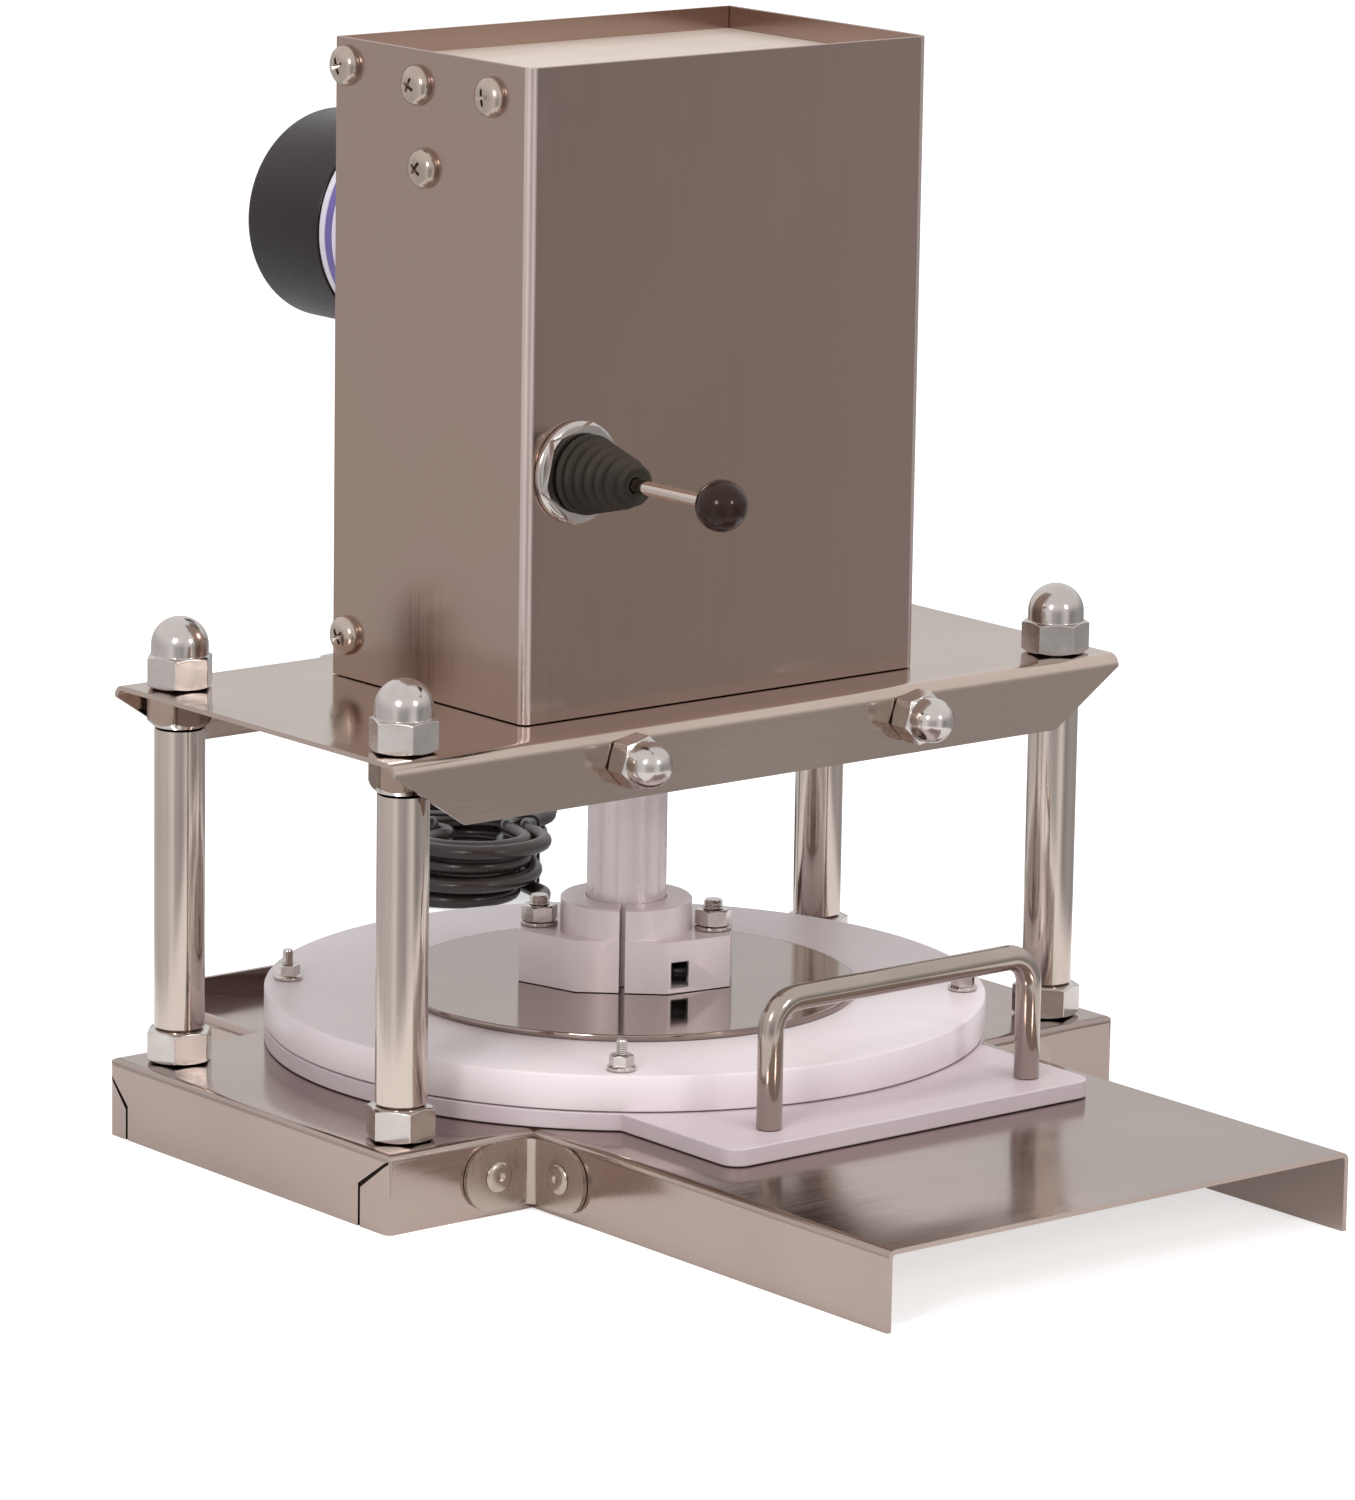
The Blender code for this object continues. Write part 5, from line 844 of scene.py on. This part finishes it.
def seam_cutter(side_x, side_y):
    """A groove where the end flange laps round the corner: up the side, then slanting out to it."""
    reach, turn_height, high = SEAMS_FRONT if side_y < 0 else SEAMS_REAR
    line, end = BASE_DEPTH - reach, BASE_DEPTH - 1.0
    inner, outer = line - SEAM_HALF, line + SEAM_HALF
    outline = [(inner, -OVER), (outer, -OVER), (outer, turn_height - SEAM_HALF), (end, high - SEAM_HALF),
               (end, high + SEAM_HALF), (inner, turn_height + SEAM_HALF)]
    return mirrored(prism(outline, HALF_BASE - SEAM_DEPTH, HALF_BASE + OVER, "X"), side_x, side_y)


def corner_cutter(side_x, side_y):
    """What a bend takes off the square corner of the base."""
    start = (HALF_BASE - CORNER_BEND, BASE_DEPTH - CORNER_BEND)
    beyond = (HALF_BASE + OVER, BASE_DEPTH + OVER)
    outline = arc(start, CORNER_BEND, 0.0, math.pi / 2, BEND)
    outline += [(start[0], beyond[1]), beyond, (beyond[0], start[1])]
    return mirrored(prism(outline, -OVER, BASE_TOP + OVER), side_x, side_y)


def rivet_places(side_x, side_y):
    height = BASE_TOP - 15.75
    return ((side_x * (TONGUE + 18.5), side_y * BASE_DEPTH, height),
            (side_x * TONGUE, side_y * (BASE_DEPTH + 18.5), height))


def make_base():
    outline, flanged = base_outline()
    base = folded(outline, flanged, 0.0, BASE_TOP, 2.0, 3.5)
    inner = TONGUE - 3.5
    join(base, block((-inner, inner), (REAR - 2.0, REAR), (BASE_TOP - 2.0, BASE_TOP + 8.5)))
    drilled(base, POST_BORE, BASE_TOP - 6.0, BASE_TOP + OVER, POSTS)
    for sides in SIDES:
        cut(base, corner_cutter(*sides), seam_cutter(*sides))
    base = settle(base, "base_sheet", "frame", "folded_steel", ["base_tray"], 0.25, angle=50.0)
    inside = (HALF_BASE - SEAM_DEPTH - 0.1) * 0.001, (HALF_BASE - 0.1) * 0.001

    def in_seam(centre, out):
        across = abs(out.x)
        return inside[0] < abs(centre.x) < inside[1] and out.x * centre.x > -0.0001 and (
            across > 0.985 or across < 0.02 and centre.z < 0.0295 and abs(out.y) < 0.999)
    dress_faces(base, "seam_shadow", in_seam)


def rivet_head(face, centre, out, axis):
    """A wide flat head with the dimple that its mandrel leaves, and its shank through the wall."""
    seat = face + out * 2.3
    outline = [(2.0, 0.0), (5.8, 0.0), (6.0, 0.15), (6.0, 0.45), (5.7, 0.8), (5.0, 1.15), (3.9, 1.45),
               (2.6, 1.6), (1.6, 1.6), (1.3, 1.35), (0.9, 1.0)]
    profile = [(0, face - out * 2.3), (2.0, face - out * 2.3)]
    profile += [(radius, seat + out * height) for radius, height in outline] + [(0, seat + out * 0.9)]
    return turned(profile, centre, axis, SMALL)


def make_bracket(name, side_x, side_y):
    low, high, length, end_round, thick = 2.75, 28.75, 33.5, 12.5, 2.0
    inner_x, inner_y = side_x * (TONGUE + GAP), side_y * (BASE_DEPTH + GAP)

    def leg(start, direction, face, out, axis):
        soft = rounded(*sorted((start, start + direction * length)), low, high, end_round)
        square = rectangle(*sorted((start, start + direction * 16.0)), low, high)
        depth = sorted((face, face + out * thick))
        return join(prism(soft, *depth, axis), prism(square, *depth, axis))
    bracket = join(leg(inner_x, side_x, inner_y, side_y, "Y"), leg(inner_y, side_y, inner_x, side_x, "X"))
    fillet = [(0.0, 0.0)] + [(4.2 - a, 4.2 - b) for a, b in arc((0.0, 0.0), 4.2, math.pi / 2, 0.0, BEND)]
    corner = [(inner_x + side_x * (1.8 + a), inner_y + side_y * (1.8 + b)) for a, b in fillet]
    join(bracket, prism(corner, low, high))
    settle(bracket, "bracket_" + name, "frame", "bracket_steel", ["corner_bracket_" + name], 0.45, 3)
    on_base, on_tongue = rivet_places(side_x, side_y)
    for where, rivet in (("base_", rivet_head(on_base[1], (on_base[0], on_base[2]), side_y, "Y")),
                         ("tongue_", rivet_head(on_tongue[0], on_tongue[1:], side_x, "X"))):
        settle(rivet, "rivet_" + where + name, "frame", "bracket_steel", angle=40.0)


# Posts, nuts and the top plate

CORNERS = {"front_left": (-1, -1, 8), "front_right": (1, -1, 21), "rear_left": (-1, 1, 47),
           "rear_right": (1, 1, 33)}


def plain_nut(low):
    nut = chamfered_hex(POST_FLATS, low, low + POST_NUT, NUT_CHAMFER)
    return drilled(nut, POST_BORE, low - OVER, low + POST_NUT + OVER)


def collar_nut():
    high = PLATE_LOW - GAP
    low = high - POST_NUT
    beyond = POST_FLATS / math.sqrt(3) + 0.3
    profile = [(0, low - OVER), (10.5, low - OVER), (10.5, low), (beyond, low + 3.4), (beyond, high + OVER),
               (0, high + OVER)]
    return combine(plain_nut(low), turned(profile), "INTERSECT")


def acorn(flats, hex_height, radius, height, bore_radius, bore):
    nut = chamfered_hex(flats, 0.0, hex_height, NUT_CHAMFER)
    join(nut, turned([(0, hex_height / 2)] + dome(radius, hex_height / 2, height)))
    return drilled(nut, bore_radius, -OVER, bore + GAP)


def make_posts():
    under = BASE_TOP - 2.3
    top = PLATE_LOW - 13.6
    foot = BASE_TOP + 13.6
    profile = [(0, under - 4.0), (8.0, under - 4.0), (8.0, foot), (9.3, foot), (10.1, foot + 0.8),
               (10.1, top - 0.8), (9.3, top), (8.0, top), (8.0, 202.5), (7.5, 203.0), (0, 203.0)]
    post = join(turned(profile), chamfered_hex(POST_FLATS, under - 8.0, under, NUT_CHAMFER))
    cap = acorn(POST_FLATS, POST_NUT, 11.4, 28.0, POST_BORE, 20.0)
    nuts = ((plain_nut(BASE_TOP + GAP), 0, "foot_nut_", "base_nut_"),
            (collar_nut(), 0, "under_nut_", "collar_nut_"), (cap, PLATE_TOP + GAP, "dome_nut_", "acorn_nut_"))
    for corner, (x, y, turn) in CORNERS.items():
        x, y = x * POST_X, y * POST_Y
        settle(copied(post, shift(x, y, 0)), "bar_" + corner, "frame", "polished_bar", ["post_" + corner])
        for nut, lift, name, node in nuts:
            settle(copied(nut, shift(x, y, lift) @ spin(turn)), name + corner, "frame", "bright_fasteners",
                   [node + corner], 0.3)
    for item in (post, *[nut for nut, *_ in nuts]):
        bpy.data.objects.remove(item, do_unlink=True)


def make_top_plate():
    low = PLATE_TOP - 27.3
    half, deep, inboard = 183.8, 91.8, 150.3
    outline = rectangle(-half, half, -deep, deep)
    plate = folded(outline, [True, False, True, False], low, PLATE_TOP, 2.0, 5.0)
    for side in (-1, 1):
        end, inner = side * half, side * inboard
        beyond = end + side * OVER
        slant = [(beyond, PLATE_TOP - 5.0), (end, PLATE_TOP - 5.0), (inner, low), (inner, low - OVER),
                 (beyond, low - OVER)]
        cut(plate, prism(slant, -96.0, 96.0, "Y"))
    drilled(plate, POST_BORE, PLATE_LOW - OVER, PLATE_TOP + OVER, POSTS)
    cut(plate, cylinder(21.3, PLATE_LOW - OVER, PLATE_TOP + OVER, (0, RAM_Y)))
    drilled(plate, TIE_BORE, -96.0, 96.0, [(x, TIE_Z) for x in (-TIE_X, TIE_X)], "Y")
    settle(plate, "top_sheet", "frame", "folded_steel", ["top_plate"], 0.35, angle=50.0,
           finish="top_plate_steel")


def make_ties():
    face = 92.1
    for name, x in (("left", -TIE_X), ("right", TIE_X)):
        rod = cylinder(6.0, -face - 14.7, face + 4.0, (x, TIE_Z), "Y", SMALL)
        join(rod, chamfered_hex(TIE_FLATS, face, face + 8.0, NUT_CHAMFER, "Y", (x, TIE_Z)))
        settle(rod, "tie_rod_" + name, "frame", "bright_fasteners", ["tie_bolt_" + name], 0.25)
        nut = acorn(TIE_FLATS, 10.0, 9.0, 22.0, TIE_BORE, 15.0)
        moved(nut, shift(x, -face, TIE_Z) @ spin(90, "X") @ spin(14))
        settle(nut, "tie_dome_" + name, "frame", "bright_fasteners", ["tie_nut_" + name], 0.3)


# Ram, plates and tray

def make_column():
    high = 363.5
    pitch = math.pi * 2.0
    lean = math.tan(math.radians(20.0))
    line, rise, drop = -13.8, 1.6, 2.1
    tip, root = line - rise, line + drop
    half_tip = (pitch / 2 + 0.25) / 2 + rise * lean
    half_root = (pitch / 2 + 0.25) / 2 - drop * lean
    first = math.ceil((271.5 - AXIS_Z) / pitch)
    last = math.floor((360.5 - AXIS_Z) / pitch)
    outline = [(-20.0, AXIS_Z + first * pitch - half_tip)]
    for number in range(first, last + 1):
        middle = AXIS_Z + number * pitch
        outline += [(tip, middle - half_tip), (root, middle - half_root), (root, middle + half_root),
                    (tip, middle + half_tip)]
    outline.append((-20.0, AXIS_Z + last * pitch + half_tip))
    column = turned([(0, HUB_LOW), (16.0, HUB_LOW), (16.0, high - 0.8), (15.2, high), (0, high)], (0, RAM_Y),
                    steps=FINE)
    cut(column, prism(outline, RAM_Y - 20.0, RAM_Y + 20.0, "Y"))
    settle(column, "rack_column", "ram", "polished_bar", ["ram_column"], finish="ground_column")


HUB_PLACE = shift(0, RAM_Y, HUB_LOW) @ spin(HUB_TURN)


def make_hub():
    right = [(18.5, -27.0), (42.5, -11.0), (42.5, 11.0), (18.5, 27.0)]
    hub = prism(right + [(-x, y) for x, y in reversed(right)], 0.0, 21.0)
    join(hub, turned([(0, 10.0), (26.5, 10.0), (26.5, 33.2), (25.7, 34.0), (0, 34.0)], steps=FINE))
    cut(hub, cylinder(16.3, -OVER, 38.0, steps=FINE))
    cut(hub, block((-1.2, 1.2), (-31.0, 0.0), (-OVER, 38.0)))
    cut(hub, block((19.6, 26.5), (-31.0, -14.0), (2.0, 12.7)))
    drilled(hub, 4.3, -OVER, 38.0, ((-HUB_WING, 0), (HUB_WING, 0)))
    settle(moved(hub, HUB_PLACE), "split_hub", "ram", "hub_aluminium", ["clamp_hub"], 0.4, 3)
    centre = (-18.6, 7.35)
    profile = [(0, 19.7), (4.2, 19.7), (4.3, 20.0), (4.3, 25.2), (4.0, 25.6), (0, 25.6)]
    screw = turned(profile, centre, "X", SMALL)
    cut(screw, prism(hexagon(4.0, centre), 22.6, 28.0, "X"))
    settle(moved(screw, HUB_PLACE), "clamp_screw", "ram", "bright_fasteners", bevel=0.15,
           finish="blackened_screw")


def make_hub_bolts():
    """Studs with a thin washer and a nut on each wing of the hub."""
    seat = 21.3
    tip = seat + 12.0
    for name, x in (("left", -HUB_WING), ("right", HUB_WING)):
        profile = [(0, -11.0), (4.0, -11.0), (4.0, 20.0)] + thread(4.0, seat, tip - 0.5, 1.25, 0.5)
        bolt = turned(profile + [(3.2, tip), (0, tip)], (x, 0), steps=SMALL)
        settle(moved(bolt, HUB_PLACE), "hub_stud_" + name, "ram", "bright_fasteners", ["hub_bolt_" + name])
        washer = turned([(4.1, seat), (7.4, seat), (7.5, seat + 0.2), (7.5, seat + 1.3), (7.3, seat + 1.5),
                         (4.1, seat + 1.5)], (x, 0), ring=True)
        settle(moved(washer, HUB_PLACE), "hub_washer_" + name, "ram", "bright_fasteners")
        nut = chamfered_hex(13.0, seat + 1.5, seat + 8.0, 0.7)
        drilled(nut, 4.05, seat - OVER, tip)
        moved(nut, HUB_PLACE @ shift(x, 0, 0) @ spin(17))
        settle(nut, "hub_nut_" + name, "ram", "bright_fasteners", bevel=0.2)


def hub_bolt_place(side):
    turn = math.radians(HUB_TURN)
    return side * HUB_WING * math.cos(turn), RAM_Y + side * HUB_WING * math.sin(turn)


def stop_places():
    places, radius = {}, 136.0
    for number, name in enumerate(("front", "right", "rear", "left")):
        turn = math.radians(-129.35) + number * math.pi / 2
        places[name] = (radius * math.cos(turn), RAM_Y + radius * math.sin(turn))
    return places


def make_pressing_plates():
    profile = [(0, DIE_LOW), (DIE_RADIUS - 1.0, DIE_LOW), (DIE_RADIUS - 0.3, DIE_LOW + 0.3),
               (DIE_RADIUS, DIE_LOW + 1.0), (DIE_RADIUS, DIE_TOP - 1.0), (DIE_RADIUS - 0.3, DIE_TOP - 0.3),
               (DIE_RADIUS - 1.0, DIE_TOP), (DIE_RADIUS - 1.75, DIE_TOP), (0, DIE_TOP)]
    die = turned(profile, (0, RAM_Y), steps=2 * FINE)
    low = DIE_TOP + GAP
    profile = [(0, low), (DISC_RADIUS - 0.2, low), (DISC_RADIUS, low + 0.2), (DISC_RADIUS, DISC_TOP - 0.3),
               (DISC_RADIUS - 0.3, DISC_TOP), (DISC_RADIUS - 0.9, DISC_TOP), (0, DISC_TOP)]
    disc = turned(profile, (0, RAM_Y), steps=2 * FINE)
    bolts = [hub_bolt_place(side) for side in (-1, 1)]
    drilled(die, 4.3, DIE_TOP - 8.0, DIE_TOP + OVER, bolts)
    drilled(disc, 4.3, low - OVER, DISC_TOP + OVER, bolts)
    drilled(die, 2.55, DIE_LOW - OVER, DIE_TOP + OVER, stop_places().values())
    settle(die, "pressing_plate", "ram", "plate_aluminium", ["upper_die"], angle=40.0)
    settle(disc, "stiffening_disc", "ram", "disc_steel", ["backing_disc"], angle=50.0)


def make_stop_screws():
    seat = DIE_TOP + GAP
    for number, (name, place) in enumerate(stop_places().items()):
        profile = [(0, DIE_LOW), (2.2, DIE_LOW)] + thread(2.25, DIE_LOW + 0.4, seat + 11.4, 0.8, 0.3)
        stud = turned(profile + [(1.8, seat + 12.0), (0, seat + 12.0)], place, steps=SMALL)
        settle(stud, "stop_stud_" + name, "ram", "bright_fasteners", ["stop_screw_" + name])
        nut = chamfered_hex(8.6, 0.6, 6.0, 0.5)
        join(nut, turned([(0, 0), (5.6, 0), (5.8, 0.3), (5.8, 1.1), (5.3, 1.6), (4.2, 2.0), (0, 2.0)]))
        drilled(nut, 2.3, -OVER, 10.0)
        moved(nut, shift(*place, seat) @ spin(11 + 23 * number))
        settle(nut, "stop_nut_" + name, "ram", "bright_fasteners", bevel=0.12)


def make_tray():
    meet = math.asin(92.0 / TRAY_RADIUS)
    down = -math.pi / 2
    points = arc((0, RAM_Y), TRAY_RADIUS, down + meet, down - meet + 2 * math.pi, 180)
    points += arc((-84.0, -176.0), 8.0, math.pi, math.pi * 1.5, BEND)
    points += arc((84.0, -176.0), 8.0, math.pi * 1.5, math.pi * 2, BEND)
    tray = prism(points, BASE_TOP + GAP, TRAY_TOP)
    feet, line_y, bend = (-60.2, 71.4), -166.5, 12.0
    drilled(tray, 3.3, BASE_TOP - OVER, TRAY_TOP + OVER, [(x, line_y) for x in feet])
    settle(tray, "tray_plate", "tray", "plate_aluminium", ["dough_tray"], 0.6, 3, "tray_plate")
    bar = TRAY_TOP + 50.0
    foot = TRAY_TOP + GAP
    steps = ((TRAY_TOP - 5.0, 3.0), (foot, 3.0), (foot, 4.7), (foot + 0.3, 5.0))
    half = [(feet[0], z, radius) for z, radius in steps]
    half += [(x, z, 5.0) for x, z in arc((feet[0] + bend, bar - bend), bend, math.pi, math.pi / 2, 14)]
    line = half + [(sum(feet) - x, z, radius) for x, z, radius in reversed(half)]
    rings = []
    for number, (x, z, radius) in enumerate(line):
        before, after = line[max(number - 1, 0)], line[min(number + 1, len(line) - 1)]
        along = Vector((after[0] - before[0], 0, after[1] - before[1])).normalized()
        side = Vector((0, 1, 0)).cross(along)
        centre = Vector((x, line_y, z))
        rings.append([centre + side * a + Vector((0, b, 0)) for a, b in circle(radius, 48)])
    settle(loft(rings), "bow_handle", "tray", "plate_aluminium", ["tray_handle"], angle=50.0,
           finish="handle_steel")


# Housing

def box_outline(move, back):
    """The housing's front and sides from above, moved inwards by the given amount."""
    left, right, front = BOX_LEFT + move, BOX_RIGHT - move, BOX_FRONT + move
    corner, down = 3.5 - move, math.pi * 1.5
    return ([(right, back), (left, back)] + arc((left + corner, front + corner), corner, math.pi, down, BEND)
            + arc((right - corner, front + corner), corner, down, math.pi * 2, BEND))


def make_housing():
    foot = PLATE_TOP + GAP
    shell = prism(box_outline(0.0, BOX_BACK), foot, BOX_TOP)
    cut(shell, prism(box_outline(BOX_SHEET, BOX_BACK + OVER), foot - OVER, BOX_TOP + OVER))
    cut(shell, cylinder(11.3, BOX_FRONT - OVER, BOX_FRONT + 6.0, (STICK_X, STICK_Z), "Y"))
    shell = settle(shell, "box_wrap", "frame", "housing_steel", ["housing_shell"], 0.3, angle=50.0)
    # The rounded vertical corner bends take a lighter steel, a painted highlight along each bend
    dress_faces(shell, "bend_steel", lambda centre, out: min(abs(out.x), abs(out.y)) > 0.04)
    across = (INNER_LEFT, INNER_RIGHT)
    walls = ((INNER_LEFT, INNER_LEFT + BOX_SHEET), (INNER_RIGHT - BOX_SHEET, INNER_RIGHT))
    half_sheet = BOX_SHEET / 2
    low, reach, inside = LID_TOP - BOX_SHEET, BOX_BACK - 18.0, BOX_BACK - half_sheet
    back = block(across, (BOX_BACK - BOX_SHEET, BOX_BACK), (foot, BOX_TOP))
    join(back, block(across, (reach, inside), (foot, foot + BOX_SHEET)))
    for wall in walls:
        join(back, block(wall, (reach, inside), (foot + half_sheet, low + half_sheet)))
        join(back, block(wall, (-3.7, reach + BOX_SHEET), (LID_TOP - 14.0, low + half_sheet)))
    join(back, block(across, (-10.0, inside), (low, LID_TOP)))
    cut(back, cylinder(13.0, BOX_BACK - 6.0, BOX_BACK + OVER, (SHAFT_X, AXIS_Z), "Y"))
    drilled(back, 7.3, BOX_BACK - 6.0, BOX_BACK + OVER, [(GLAND_X, GLAND_Z)], "Y")
    back = settle(back, "box_back", "frame", "housing_steel", ["housing_back"], 0.25)
    dress_faces(back, "lid_steel", lambda centre, out: out.z > 0.9)
    high = LID_TOP - 1.8
    front, clip = BOX_FRONT + 1.8, 2.0
    outline = [(INNER_LEFT + clip, front), (INNER_RIGHT - clip, front), (INNER_RIGHT, front + clip),
               (INNER_RIGHT, -4.0), (INNER_LEFT, -4.0), (INNER_LEFT, front + clip)]
    lid = prism(outline, high - BOX_SHEET, high)
    rim = (high - 14.0, high - half_sheet)
    for wall in walls:
        join(lid, block(wall, (front + clip, -16.0), rim))
    join(lid, block((INNER_LEFT + clip, INNER_RIGHT - clip), (front, front + BOX_SHEET), rim))
    settle(lid, "box_lid", "frame", "housing_steel", ["housing_lid"], 0.25, finish="lid_steel")


def make_box_screws():
    """Cross recessed pan heads on both sides of the housing."""
    places = ((51.3, 426.4, 20), (5.5, 423.5, 64), (-41.0, 423.9, 8), (0.6, 391.9, 51), (49.0, 200.3, 33))
    profile = [(0, 0.0), (7.9, 0.0), (8.0, 0.4), (7.85, 1.6), (7.2, 3.0), (5.9, 4.1), (4.0, 4.9), (2.0, 5.2),
               (0, 5.3)]
    head = turned(profile, axis="X")
    for turn in (0, 90):
        wing = loft([[(depth, a * half, b * wide) for a, b in rectangle(-1, 1, -1, 1)]
                     for depth, half, wide in ((2.5, 0.5, 1.2), (5.9, 0.75, 4.2))])
        cut(head, moved(wing, spin(turn, "X")))
    for side, face, name in ((-1, BOX_LEFT, "left"), (1, BOX_RIGHT, "right")):
        for number, (y, z, turn) in enumerate(places):
            place = shift(face + side * 0.05, y, z) @ spin(90 - side * 90, "Z") @ spin(turn, "X")
            settle(copied(head, place), f"pan_screw_{name}_{number}", "frame", "bright_fasteners", angle=40.0,
                   finish="screw_steel")
    bpy.data.objects.remove(head, do_unlink=True)


def make_motor():
    axis = (MOTOR_X, AXIS_Z)
    body = turned([(0, 96.9), (42.2, 96.9), (42.6, 97.3), (42.6, 127.2), (42.0, 127.5), (42.0, 132.0),
                   (42.6, 132.3), (42.6, 135.6), (42.2, 136.0), (0, 136.0)], axis, "Y", FINE)
    settle(body, "motor_sleeve", "frame", "motor_light", ["motor_body"], angle=30.0)
    band = turned([(42.05, 127.6), (42.5, 127.6), (42.5, 131.9), (42.05, 131.9)], axis, "Y", FINE, ring=True)
    settle(band, "motor_band", "frame", "motor_light", finish="violet_band", angle=30.0)
    profile = [(0, 136.3), (42.9, 136.3), (43.3, 136.7)]
    profile += arc((40.3, 182.4), 3.0, 0.0, math.pi / 2, BEND)
    profile += [(20.0, 185.4), (19.0, 184.6), (0, 184.6)]
    cap = turned(profile, axis, "Y", FINE)
    slots = 10
    for number in range(slots):
        slot = prism(rounded(25.0, 35.0, -1.5, 1.5, 1.4, 6), 183.2, 192.0, "Y")
        turn = Matrix.Rotation(2 * math.pi * number / slots, 4, "Y")
        cut(cap, moved(slot, shift(MOTOR_X, 0, AXIS_Z) @ turn))
    settle(cap, "motor_can", "frame", "motor_black", ["motor_cap"], angle=35.0)
    outline = rounded(MOTOR_X - 44.0, MOTOR_X + 44.0, 302.0, 390.0, 9.0)
    box = prism(outline, 58.6, 96.6, "Y")
    groove = cut(prism(rounded(-60.0, 40.0, 296.0, 396.0, 9.0), 88.0, 89.2, "Y"),
                 prism(rounded(MOTOR_X - 43.2, MOTOR_X + 43.2, 302.8, 389.2, 8.2), 80.0, 99.0, "Y"))
    cut(box, groove, cylinder(8.2, 50.0, 77.6, (SHAFT_X, AXIS_Z), "Y"))
    drilled(box, 3.4, 93.6, 100.0, [(MOTOR_X + x * 36.0, AXIS_Z + z * 36.0) for x, z in SIDES], "Y")
    settle(box, "gear_case", "frame", "gearbox_aluminium", ["gearbox"], 0.5)


# Joystick

def make_joystick():
    centre = (STICK_X, STICK_Z)
    face = BOX_FRONT - GAP
    ring = turned([(11.4, face), (19.6, face), (20.0, face - 0.4), (20.0, face - 2.2), (19.4, face - 3.0),
                   (18.2, face - 3.4), (11.4, face - 3.4)], centre, "Y", FINE, ring=True)
    grip = prism(hexagon(35.0, centre, 0.3), face - 6.2, face - 2.6, "Y")
    profile = [(0, face + 1.0), (20.0, face + 1.0), (20.0, face - 5.2), (18.6, face - 6.4), (0, face - 6.4)]
    combine(grip, turned(profile, centre, "Y"), "INTERSECT")
    cut(grip, cylinder(11.4, face - 12.0, face + 6.0, centre, "Y"))
    join(ring, grip)
    settle(ring, "stick_ring_nut", "frame", "bright_fasteners", ["joystick_nut"], 0.25)
    base, tip = -71.9, -102.6
    outer = [(15.0, base), (15.6, base - 0.5), (15.6, base - 2.2), (15.0, base - 2.8)]
    ribs, steps = 5, 9
    wide, narrow, rise, sink = 14.8, 9.0, 2.6, 2.0
    start, end = base - 2.8, tip + 4.2
    for rib in range(ribs):
        for step in range(steps):
            share = (rib + step / steps) / ribs
            radius = wide + (narrow - wide) * share + rise * math.sin(math.pi * step / steps) ** 0.8 - sink
            outer.append((radius, start + (end - start) * share))
    outer += [(7.6, end), (8.0, end - 0.6), (8.0, tip + 0.8), (7.4, tip), (6.4, tip), (6.1, tip + 0.5)]
    inner = [(3.2, tip + 0.9), (3.2, tip + 5.0), (5.0, tip + 7.0), (10.2, base - 3.0), (12.6, base)]
    boot = settle(turned(outer + inner, centre, "Y", ring=True), "stick_boot", None, "boot_rubber",
                  ["joystick_boot"], angle=60.0)
    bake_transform(boot)
    knob = BOX_FRONT - 88.4
    rod, pivot_ball, bore, knob_ball = 2.8, 6.0, 3.1, 10.0
    meet = math.pi - math.asin(rod / pivot_ball)
    turns = [meet * step / 16 for step in range(17)]
    ball = [(pivot_ball * math.sin(turn), STICK_PIVOT + pivot_ball * math.cos(turn)) for turn in turns]
    lever = turned(ball + [(rod, knob), (0, knob)], centre, "Y", SMALL)
    settle(lever, "stick_rod", "joystick", "polished_bar", ["joystick_lever"], angle=50.0)
    turns = [math.pi * step / 40 for step in range(1, 40)]
    sphere = [(knob_ball * math.sin(turn), knob + knob_ball * math.cos(turn)) for turn in turns]
    outside = [point for point in sphere if point[0] > bore or point[1] < knob]
    profile = [(0, knob), (bore, knob), (bore, knob + 9.4)] + outside + [(0, knob - knob_ball)]
    knob = turned(profile, centre, "Y")
    settle(knob, "stick_ball", "joystick", "knob_gloss", ["joystick_knob"], angle=50.0)


make_base()
for corner, (x, y, _) in CORNERS.items():
    make_bracket(corner, x, y)
make_posts()
make_top_plate()
make_ties()
make_column()
make_hub()
make_hub_bolts()
make_pressing_plates()
make_stop_screws()
make_tray()
make_housing()
make_box_screws()
make_motor()
make_joystick()

# CAD nodes whose own shape is right
KEPT = {"guide_block": ("hub_aluminium", 0.5), "guide_bush": ("polished_bar", 0.0),
        "bearing_plate": ("bracket_steel", 0.3), "pinion": ("gear_steel", 0.0),
        "output_shaft": ("polished_bar", 0.0), "limit_switch": ("switch_black", 0.4),
        "joystick_body": ("switch_black", 0.0)}
for name, (slot, bevel) in KEPT.items():
    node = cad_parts[name]
    node.data.materials.clear()
    node.data.materials.append(FINISHES[slot])
    if bevel:
        modifier = node.modifiers.new("edges", "BEVEL")
        modifier.width = bevel * 0.001
        modifier.segments = 2
        modifier.limit_method = "ANGLE"
